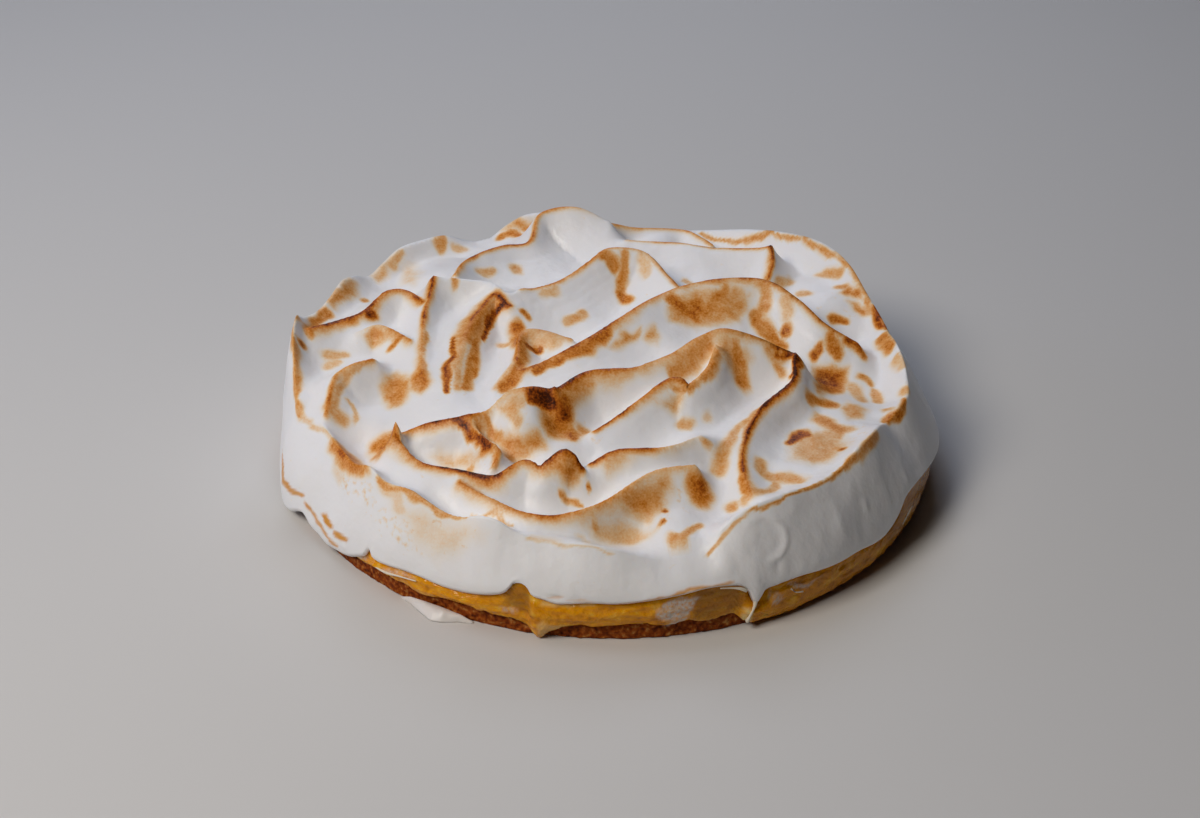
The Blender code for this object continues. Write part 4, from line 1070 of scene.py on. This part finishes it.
# %% [markdown]
# ## The curd
#
# Passion fruit curd is juice, egg and butter cooked until it sets. Where the knife met it, it
# bulges out under the meringue's skirt in wet strands, and in front a fold of it has run down over
# the crust. The fold has a sharp left edge, so its bulge is a step in the table of radii.

# %% Shape of the curd
# Azimuth, radius of the bulge
CURD_BELLY = points("""
-170,126.5 -120,126.6 -112,126.6 -108,126.2 -105,125.3 -102.6,125.4 -101.9,128 -100,128.2 -97,127.2
-92,126.8 -84,127 -77,126.2 -72,125.4 -68.2,125.4 -67,127.6 -63,127.9 -58,127.4 -40,127.4 -20,127.8 -5,128.8
8,128.8 30,127.6 90,126.8 150,126.6
""")
# Azimuth, height of the lower edge, where it has run down over the crust
CURD_EDGE = points("""
-170,6 -150,6 -139,5 -135,8.4 -126,7.4 -121.5,6.6 -117,7.8 -114,8.2 -110,7 -106,6.4 -103.8,5.6 -102.2,3.6
-100.7,.9 -100,1.1 -98.8,4 -97.2,5.6 -95,7 -91,6.8 -88,7.6 -85,8.6 -82,7.2 -79,6.8 -76.5,7.6 -73,5.8 -71,6.4
-69,6.8 -67.4,3 -65.7,1.4 -62,1.4 -58,1.8 -52,2.4 -40,3 -20,4 10,5.5 45,6.5 80,5.5 115,6.5 150,6
""")
HIDDEN_EDGE, HIDDEN_BELLY = 7.0, 125.2  # both where the skirt hides them
HIDING_SKIRT, FADE = 8.0, 3.0  # skirts lower than this hide it, and in sight it comes over so much
CRUST_HEIGHT = 7.0
CURD_UNDERSIDE = 7.3
CURD_RINGS = 22
CURD_RAISE = 0.25  # how far its first ring stands out
STRAND_HEIGHT = 0.45

lowest_near = np.min([np.roll(skirt_height, k) for k in range(-4, 5)], axis=0)
shown = np.clip((lowest_near - HIDING_SKIRT) / FADE, 0.0, 1.0)
curd_low = HIDDEN_EDGE + (periodic(CURD_EDGE, azimuths)[:, 0] - HIDDEN_EDGE) * shown
belly = HIDDEN_BELLY + (periodic(CURD_BELLY, azimuths)[:, 0] - HIDDEN_BELLY) * shown
arc = angles * CURD_RADIUS
curd_low = curd_low + 0.45 * shown * (lumps(arc, arc, 3.1, 62) + 0.5 * lumps(arc, arc, 1.4, 63))
shown_top = np.maximum(lowest_near - 0.4, curd_low + 1.5)
rings = [ring(CURD_RADIUS, CURD_UNDERSIDE), ring(CURD_RADIUS, curd_low + 0.2)]
for share in np.linspace(0, 1, CURD_RINGS):
    height = curd_low + (shown_top - curd_low) * share
    round_out = 1.0 - abs(2 * share - 1.0) ** 2.5
    radius = CURD_RADIUS + CURD_RAISE + (belly - CURD_RADIUS - CURD_RAISE) * (0.45 + 0.55 * round_out)
    strands = lumps(arc + 3 * lumps(arc, height, 9.0, 60), 5 * height, 7.0, 61)
    strands = strands + 0.6 * lumps(arc + 2 * height, 2 * height, 3.0, 64)
    rings.append(ring(radius + STRAND_HEIGHT * round_out * shown * strands, height))
joint = layer_joint(CURD_RADIUS) - JOINT_GAP
rings.append(ring(CURD_RADIUS, np.maximum(joint - 0.5, shown_top + 0.1)))
rings.append(ring(CURD_RADIUS - 0.5, joint))
rings.extend(ring(radius, layer_joint(radius) - JOINT_GAP) for radius in JOINT_RADII)
curd = Shell()
underside, upper_side = curd.stack(rings)
curd.fan(upper_side, (0.0, 0.0, CURD_TOP - JOINT_GAP), True)
curd.fan(underside, (0.0, 0.0, CURD_UNDERSIDE), False)
print("the curd's lowest drip is", round(curd_low.min(), 1), "mm above the table")

# %% [markdown]
# ## A thin layer over another colour
#
# A smear is thicker in places, so noise thins it. The same few nodes serve the meringue's film on
# the curd and on the crust.

# %% Smear in a material
FILM_COLOUR = "#D9CFC7"
VEIL = 1.2  # mm, the size of its thin places


def film_over(node, place, colour):
    """The colour with meringue mixed in where the points say it is smeared."""
    film = node("Attribute", attribute_name="film")["Fac"]
    veil = node("TexNoise", {"Vector": place, "Scale": 1 / (VEIL * MM), "Detail": 4.0})["Fac"]
    thin = node("MapRange", {"Value": veil, 1: 0.34, 2: 0.62, 3: 0.3, 4: 1.0})[0]
    amount = node("Math", {0: film, 1: thin}, operation="MULTIPLY")[0]
    mix = {"Factor": amount, 6: colour, 7: linear(FILM_COLOUR)}
    return node("Mix", mix, data_type="RGBA")[2]


# %% [markdown]
# ## Set fruit curd
#
# Curd is smooth, wet and slightly see-through, ochre yellow streaked with orange brown. Painted
# shade darkens it in its recesses and on its shaded right side, and a painted highlight makes it
# paler where the light catches the drip. Its strands run along the side, so the noise is squeezed
# in height. A low roughness gives the small sharp glints.

# %% Curd material
CURD_COLOURS = ((0.30, "#C47A08"), (0.44, "#DE900A"), (0.58, "#E89E10"), (0.74, "#F0BC44"))
PAINTED_CURD_SHADE_AND_HIGHLIGHT = (("deep", "#9C640C"), ("thin", "#F0D79A"))  # painted shade and painted highlight, where the points say so
CURD_STREAK = 5.0  # mm, the size of its streaks of colour
CURD_RIPPLE = 2.4  # mm, the size of the ripples that catch the light

curd_finish, node, shader = new_material("set fruit curd")
place = node("TexCoord")["Object"]
squeezed = node("Mapping", {"Vector": place, "Scale": (1.0, 1.0, 1.4)})[0]
streaks = {"Vector": squeezed, "Scale": 1 / (CURD_STREAK * MM), "Detail": 4.0, "Distortion": 0.6}
ripples = {"Vector": squeezed, "Scale": 1 / (CURD_RIPPLE * MM), "Detail": 3.0}
colour = node("ValToRGB", {"Fac": node("TexNoise", streaks)["Fac"]}, CURD_COLOURS)[0]
# Painted shade and painted highlight are mixed into the curd's colour where the points say so.
for attribute, tone in PAINTED_CURD_SHADE_AND_HIGHLIGHT:
    amount = node("Attribute", attribute_name=attribute)["Fac"]
    colour = node("Mix", {"Factor": amount, 6: colour, 7: linear(tone)}, data_type="RGBA")[2]
wet = {"Height": node("TexNoise", ripples)["Fac"], "Strength": 0.8, "Distance": 1.0 * MM}
fill(shader, {
    "Base Color": film_over(node, place, colour), "Normal": node("Bump", wet)["Normal"],
    "Roughness": 0.08, "Specular IOR Level": 0.4, "IOR": 1.42,  # a wet gloss
    "Subsurface Weight": 0.15, "Subsurface Scale": 3 * MM,  # light that comes back out warmer
    "Subsurface Radius": (1.0, 0.5, 0.15),
})
curd.build("curd_layer", curd_finish, "passion_fruit_curd", {
    "film": smeared(curd.points, FILMS),
    # The next line is painted shade on the curd, the one after it a painted highlight on the drip.
    "deep": smeared(curd.points, PAINTED_SHADE_CURD, PAINTED_SHADE_EDGE),
    "thin": smeared(curd.points, PAINTED_HIGHLIGHT_CURD),
})

# %% [markdown]
# ## The crust
#
# The base is biscuits crushed with butter, pressed into a ring and baked. Its cut side is crumbly:
# grains of one or two millimetres with pits between them. The grains are in the mesh, and noise in
# a few browns colours them.

# %% Crust
CRUST_RADIUS = 123.9
CRUST_COLUMNS = 1440
CRUST_RINGS = 12
GRAIN = 1.7  # mm
GRAIN_HEIGHT = 0.45
CRUST_SHOULDER = 0.8  # how much the top edge is rounded off

crust_angles = np.radians(360.0 * np.arange(CRUST_COLUMNS) / CRUST_COLUMNS)
along = crust_angles * CRUST_RADIUS
rings = [ring(CRUST_RADIUS - 0.4, 0.0, crust_angles)]
for share in np.linspace(0.06, 1.0, CRUST_RINGS):
    height = CRUST_HEIGHT * share
    radius = CRUST_RADIUS + GRAIN_HEIGHT * lumps(along, height, GRAIN, 71)
    radius = radius + 0.3 * lumps(along, height, 9.0, 72) - CRUST_SHOULDER * max(0.0, share - 0.8) / 0.2
    rings.append(ring(radius, height, crust_angles))
crust = Shell()
foot, shoulder = crust.stack(rings)
crust.fan(shoulder, (0.0, 0.0, CRUST_HEIGHT), True)
crust.fan(foot, (0.0, 0.0, 0.0), False)

# %% Crust material
CRUST_COLOURS = ((0.34, "#5A2207"), (0.46, "#843A0C"), (0.58, "#9E5218"), (0.72, "#C08A4C"))
TOASTING = 1.8  # mm, the size of its darker and paler crumbs

biscuit, node, shader = new_material("baked biscuit crumb")
place = node("TexCoord")["Object"]
grains = {"Vector": place, "Scale": 1 / (GRAIN * MM), "Randomness": 1.0}
toasting = {"Vector": place, "Scale": 1 / (TOASTING * MM), "Detail": 4.0}
colour = node("ValToRGB", {"Fac": node("TexNoise", toasting)["Fac"]}, CRUST_COLOURS)[0]
pits = {"Height": node("TexVoronoi", grains)["Distance"], "Strength": 0.6, "Distance": 0.6 * MM}
fill(shader, {
    "Base Color": film_over(node, place, colour), "Normal": node("Bump", pits)["Normal"],
    "Roughness": 0.75, "Specular IOR Level": 0.12,  # dry and nearly without shine
})
film = smeared(crust.points, FILMS)
crust.build("crust_crumb", biscuit, "biscuit_crust", {"film": film})

# %% [markdown]
# ## Threads of meringue
#
# Where the skirt was pulled off the curd it left threads: one like an icicle in front, and thin
# strands beside it. Each is a tube along a curve by azimuth, height and radius, thinner at its end.

# %% Threads
THREADS = (  # azimuth, height, distance from the axis, thickness along each
    "-65.7,14.5,127,1.5 -65.8,12,127.4,1 -66,10,127.8,.6 -66.4,8,128.1,.4 -66.9,6,128.2,.5 "
    "-67.1,4.4,127.8,.8 -67,3.4,127.3,.5",
    "-59.3,12.5,127.4,.3 -58.4,10.6,127.9,.2 -57,9.8,128,.3",
    "-31.4,12,128.8,.2 -29.8,15,129.2,.3 -28.3,16.5,129.4,.15",
    "-131,9.4,126.7,.2 -128.3,9.8,127,.45 -125.6,11,127.1,.3 -122,12,127,.2",
    "-72,20.3,127.1,.2 -70,19.7,127.4,.3 -68.6,18.8,127.6,.6 -67.6,17.4,127.5,.7",
)
THREAD_SIDES = 10

turns = [2 * math.pi * k / THREAD_SIDES for k in range(THREAD_SIDES)]
thread_finish, node, shader = new_material("pulled meringue")
fill(shader, {"Base Color": linear("#E9DFCB"), "Roughness": 0.35})
threads = Shell()
for thread in THREADS:
    knots = [(*ring(r, z, np.radians([a]))[0], w) for a, z, r, w in points(thread)]
    path = smooth_stroke(knots, 0.8)
    rings = []
    for here, ahead in zip(path, [*path[1:], 2 * path[-1] - path[-2]]):
        forward = Vector(ahead[:3] - here[:3]).normalized()
        side = forward.orthogonal().normalized()
        across = forward.cross(side)
        centre, thickness = Vector(here[:3]), float(here[3])
        rings.append([centre + thickness * (side * math.cos(a) + across * math.sin(a)) for a in turns])
    start, end = threads.stack(rings)
    threads.fan(start, path[0][:3], False)
    threads.fan(end, path[-1][:3], True)
threads.build("meringue_threads", thread_finish, None)

# %% [markdown]
# ## The fallen dab
#
# One spoonful slid off the side and lies against the foot of the crust. It is a small uneven heap,
# thin at its edges.

# %% Fallen dab
# Azimuth, distance of its outer edge from the axis, height at the crust
DAB_EDGE = points("""
-126,125.2,.4 -124,125.8,2.6 -121.2,128.2,3.4 -118.4,130.6,3.6 -116.8,129.8,3.4 -114.2,126.6,2.6
-112,125.4,.6
""")
DAB_INSIDE = 124.7  # its face against the crust
DAB_STEPS = 48
DAB_ROWS = 14
DAB_LEAST = 0.02  # height that it keeps everywhere but at its edge

dab_finish, node, shader = new_material("fallen meringue")
fill(shader, {
    "Base Color": linear("#E6E1DC"), "Roughness": 0.4,
    "Subsurface Weight": 0.12, "Subsurface Radius": (1.0, 0.8, 0.65), "Subsurface Scale": 3 * MM,
})
rings = []
edge_azimuths, edge_radii, edge_heights = np.array(DAB_EDGE).T
for azimuth in np.linspace(edge_azimuths[0], edge_azimuths[-1], DAB_STEPS):
    edge = np.interp(azimuth, edge_azimuths, edge_radii)
    height = np.interp(azimuth, edge_azimuths, edge_heights)
    profile = [(DAB_INSIDE, 0.0)]
    for out in np.linspace(0.0, 1.0, DAB_ROWS):
        rise = height * (1.0 - out**2.5) * (0.8 + 0.4 * out - 0.35 * out * out)
        rise += 0.1 * height * float(lumps(azimuth * ARC, out * 6, 2.5, 91)) * math.sin(math.pi * out)
        profile.append((DAB_INSIDE + (edge - DAB_INSIDE) * out, max(DAB_LEAST, rise) if out < 1 else 0.0))
    rings.append([ring(r, z, np.radians([azimuth]))[0] for r, z in profile])
dab = Shell()
start, end = dab.stack(rings)
dab.faces += [tuple(reversed(start)), tuple(end)]
dab.build("fallen_dab", dab_finish, "meringue_smear")
